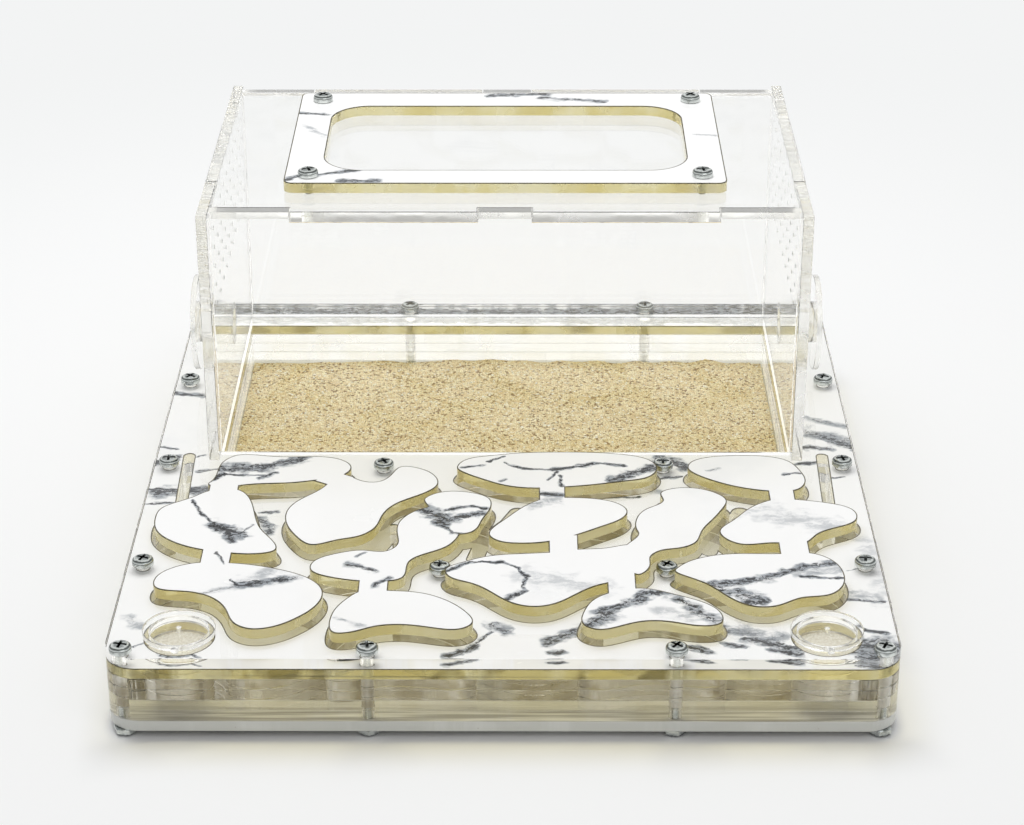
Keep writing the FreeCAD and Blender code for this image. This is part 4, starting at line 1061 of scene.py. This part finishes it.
def placingTree(name):
    # puts one fastener at each point, each turned by its own amount
    tree, given = newGeometryTree(name, {"Fastener": "Object", "Finish": "Material", "Height": "Float",
                                         "Turn Seed": "Int"})
    info = addNode(tree, "GeometryNodeObjectInfo", {"Object": given["Fastener"]}, transform_space="ORIGINAL")
    lift = addNode(tree, "ShaderNodeCombineXYZ", {"Z": given["Height"]})
    raised = addNode(tree, "GeometryNodeTransform", {
        "Geometry": given["Geometry"], "Translation": lift.outputs[0]})
    turn = addNode(tree, "FunctionNodeRandomValue", {"Max": (0, 0, 2 * math.pi), "Seed": given["Turn Seed"]},
                   data_type="FLOAT_VECTOR")
    placed = addNode(tree, "GeometryNodeInstanceOnPoints", {
        "Points": raised.outputs[0], "Instance": info.outputs["Geometry"], "Rotation": turn.outputs["Value"]})
    return endTree(tree, placed.outputs[0], given["Finish"])


placing = placingTree("placeFasteners")


def addTree(thing, name, tree, values):
    modifier = thing.modifiers.new(name, "NODES")
    modifier.node_group = tree
    for item in tree.interface.items_tree:
        if item.item_type == "SOCKET" and item.in_out == "INPUT" and item.name in values:
            modifier[item.identifier] = values[item.name]


def placeFasteners(node, name, fastener, height, seed):
    mesh = bpy.data.meshes.new(name + "Points")
    mesh.from_pydata([tuple(place) for place in islandPlaces(node)], [], [])
    thing = addObject(name + "Points", mesh)
    values = {"Fastener": fastener, "Finish": zinc, "Height": height, "Turn Seed": seed}
    addTree(thing, "place", placing, values)
    settled(thing, name, None, node)
    bpy.data.objects.remove(fastener)


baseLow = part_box("base_screws")[0]
lidLow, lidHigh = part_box("lid_screws")
headUnder = lidHigh.z - screwLook["headHeight"] * mm
baseScrew = screwMesh("baseScrew", (deckTop - baseLow.z) / mm, screwLook["baseTip"])
placeFasteners("base_screws", "baseScrews", baseScrew, deckTop, 3)
lidScrew = screwMesh("lidScrew", (headUnder - lidLow.z) / mm, screwLook["lidTip"])
placeFasteners("lid_screws", "lidScrews", lidScrew, headUnder, 5)
placeFasteners("base_nuts", "baseNuts", nutMesh("baseNut"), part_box("base_nuts")[0].z, 8)
print("screws and nuts ready")

# lengths in mm; grains is a number for each square mm, and squash the span of a grain's proportions
sandShape = {"cell": 0.75, "mound": 0.75, "dip": 0.5, "steep": 0.7, "front": 0.55, "lift": 0.03, "smooth": 60,
             "waves": 16, "rates": (20, 95), "turn": (0, 6.283), "sizes": (0.05, 0.16), "quick": 6,
             "grains": 0.42, "small": 0.24, "large": 0.46, "squash": ((0.7, 0.7, 0.55), (1.15, 1.15, 1.0)),
             "upward": 0.6, "seed": 4}


def sandMesh():
    # a closed bed whose top swells towards the middle
    look = sandShape
    low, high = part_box("sand_bed")
    columns = int((high.x - low.x) / (look["cell"] * mm))
    rows = int((high.y - low.y) / (look["cell"] * mm))
    dice = random.Random(11)
    kinds = ("rates", "turn", "turn", "sizes")
    waves = [[dice.uniform(*look[kind]) for kind in kinds] for _ in range(look["waves"])]
    work = bmesh.new()
    grid = []
    for row in range(rows + 1):
        line = []
        for column in range(columns + 1):
            u, v = column / columns, row / rows
            x, y = low.x + (high.x - low.x) * u, low.y + (high.y - low.y) * v
            swell = math.sin(math.pi * u) ** look["steep"] * (look["front"] + (1 - look["front"]) * v)
            height = high.z + (look["mound"] * swell - look["dip"]) * mm
            for rate, heading, phase, size in waves:
                way = x * math.cos(heading) + y * math.sin(heading)
                height += size * mm * math.sin(rate * way * look["quick"] + phase)
            line.append(work.verts.new((x, y, height)))
        grid.append(line)
    for near, far in zip(grid, grid[1:]):
        for column in range(columns):
            work.faces.new((near[column], near[column + 1], far[column + 1], far[column]))
    rim = grid[0] + [line[-1] for line in grid[1:]] + grid[-1][-2::-1] + [line[0] for line in grid[-2:0:-1]]
    base = [work.verts.new((v.co.x, v.co.y, low.z + look["lift"] * mm)) for v in rim]
    bridge(work, [base, rim], capped=False)
    work.faces.new(list(reversed(base)))
    mesh = closed(work, bpy.data.meshes.new("sandBed"))
    smoothShaded(mesh, look["smooth"])
    return mesh


def grainTree():
    # scatters small squashed spheres, each with its own tone, over the faces that look up
    tree, given = newGeometryTree("scatterGrains", {
        "Density": "Float", "Small": "Float", "Large": "Float", "Finish": "Material", "Seed": "Int"})

    def chance(kind, values):
        # the node gives a vector first and a number second
        outputs = addNode(tree, "FunctionNodeRandomValue", values, data_type=kind).outputs
        return outputs[1 if kind == "FLOAT" else 0]

    heading = axesOf(addNode(tree, "GeometryNodeInputNormal").outputs[0])["Z"]
    upward = addNode(tree, "FunctionNodeCompare", {"A": heading, "B": sandShape["upward"]}, data_type="FLOAT",
                     operation="GREATER_THAN")
    scatter = addNode(tree, "GeometryNodeDistributePointsOnFaces", {
        "Mesh": given["Geometry"], "Selection": upward.outputs[0], "Density": given["Density"],
        "Seed": given["Seed"]}, distribute_method="RANDOM")
    grain = addNode(tree, "GeometryNodeMeshIcoSphere", {"Radius": 1.0, "Subdivisions": 1})
    squash = chance("FLOAT_VECTOR", dict(zip(("Min", "Max"), sandShape["squash"])))
    sizes = vectorNode("SCALE", squash, scale=chance("FLOAT", {2: given["Small"], 3: given["Large"]}))
    placed = addNode(tree, "GeometryNodeInstanceOnPoints", {
        "Points": scatter.outputs["Points"], "Instance": grain.outputs["Mesh"], "Scale": sizes,
        "Rotation": chance("FLOAT_VECTOR", {"Max": (sandShape["turn"][1],) * 3})})
    keep = addNode(tree, "GeometryNodeStoreNamedAttribute", {
        "Geometry": placed.outputs[0], "Name": "tone", "Value": chance("FLOAT", {})},
        data_type="FLOAT", domain="INSTANCE")
    return endTree(tree, keep.outputs[0], given["Finish"])


bedMesh = sandMesh()
bedMesh.materials.append(sandBedFinish)
sandBed = addObject("sandBed", bedMesh)
scattered = addObject("sandPoints", bedMesh.copy())
addTree(scattered, "grains", grainTree(), {
    "Density": sandShape["grains"] / mm ** 2, "Small": sandShape["small"] * mm,
    "Large": sandShape["large"] * mm, "Finish": sandGrainFinish, "Seed": sandShape["seed"]})
grainMesh = evaluatedMesh(scattered)
grainMesh.name = "sandGrains"
sandGrains = addObject("sandGrains", grainMesh)
bpy.data.objects.remove(scattered)
for piece in (sandBed, sandGrains):
    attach(piece, "base")
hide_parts("sand_bed")
print("sand ready:", len(grainMesh.polygons), "grain faces")

# Floor, backdrop, lamps and camera, in metres and watts
studio = {"white": (0.896, 0.905, 0.905), "floorColour": (0.92, 0.925, 0.925), "floorRough": 0.9,
          "floorReach": 2.5, "fade": (0.15, 0.46), "fromAbove": (0.05, 0.75, 0.28, 0.38), "keyPower": 9.6,
          "fillPower": 1.8}


def makeFloor():
    # a pale disc that fades into the backdrop
    work = bmesh.new()
    bmesh.ops.create_circle(work, cap_ends=True, segments=96, radius=studio["floorReach"])
    mesh = closed(work, bpy.data.meshes.new("studioFloor"))
    material, shader, place = newMaterial("paleFloor")
    dress(shader, studio["floorColour"], studio["floorRough"], shine=0.0)
    fade = stretch(vectorNode("LENGTH", place), *studio["fade"])
    mixSurface(fade, shader, addNode(shader.id_data, "ShaderNodeEmission", {"Color": studio["white"]}))
    mesh.materials.append(material)
    return addObject("studioFloor", mesh)


def makeWorld():
    world = bpy.data.worlds.new("softStudio")
    world.use_nodes = True
    scene.world = world
    tree = world.node_tree
    rays = addNode(tree, "ShaderNodeLightPath").outputs
    seen = larger(rays["Is Camera Ray"], rays["Is Glossy Ray"])
    seen = larger(seen, rays["Is Transmission Ray"])
    # the light falls mostly from above, as in a tent
    heading = axesOf(addNode(tree, "ShaderNodeTexCoord").outputs["Generated"])["Z"]
    light = tree.nodes["Background"]
    feed(light, {"Color": (1, 1, 1), "Strength": stretch(heading, *studio["fromAbove"])})
    backdrop = addNode(tree, "ShaderNodeBackground", {"Color": studio["white"], "Strength": 1.0})
    mixSurface(seen, light, backdrop, "World Output")


def makeLamp(name, place, width, depth, power, mirrored=True, aim=(0, 0, 0.03)):
    lamp = bpy.data.lights.new(name, "AREA")
    lamp.shape = "RECTANGLE"
    lamp.size, lamp.size_y, lamp.energy = width, depth, power
    thing = addObject(name, lamp)
    thing.location = place
    thing.rotation_mode = "QUATERNION"
    thing.rotation_quaternion = (Vector(aim) - Vector(place)).to_track_quat("-Z", "Y")
    thing.visible_glossy = thing.visible_transmission = mirrored


floor = makeFloor()
makeWorld()
makeLamp("keyLamp", (-0.1, 0.36, 1.12), 0.9, 0.6, studio["keyPower"], mirrored=False)
makeLamp("fillLamp", (0.35, -0.75, 0.85), 0.8, 0.6, studio["fillPower"])

view = {"place": (0.005266, -0.660400, 0.363419), "down": 26.303, "turn": -0.297, "roll": -0.0875,
        "lens": 93.33}
camera = addObject("camera", bpy.data.cameras.new("camera"))
camera.data.lens = view["lens"]
camera.data.sensor_width = 36.0
camera.data.clip_start, camera.data.clip_end = 0.01, 20
yaw, pitch, roll = (math.radians(view[key]) for key in ("turn", "down", "roll"))
forward = Vector((math.sin(yaw) * math.cos(pitch), math.cos(yaw) * math.cos(pitch), -math.sin(pitch)))
right = Vector((math.cos(yaw), -math.sin(yaw), 0))
upward = right.cross(forward)
turnedRight = right * math.cos(roll) + upward * math.sin(roll)
turnedUp = upward * math.cos(roll) - right * math.sin(roll)
turned = Matrix((turnedRight, turnedUp, -forward)).transposed().to_4x4()
camera.matrix_world = Matrix.Translation(view["place"]) @ turned
scene.camera = camera

scene.view_settings.view_transform = "Standard"
scene.cycles.max_bounces = 32
scene.cycles.transmission_bounces = 32
scene.cycles.transparent_max_bounces = 48
scene.cycles.glossy_bounces = 8
print("studio ready")
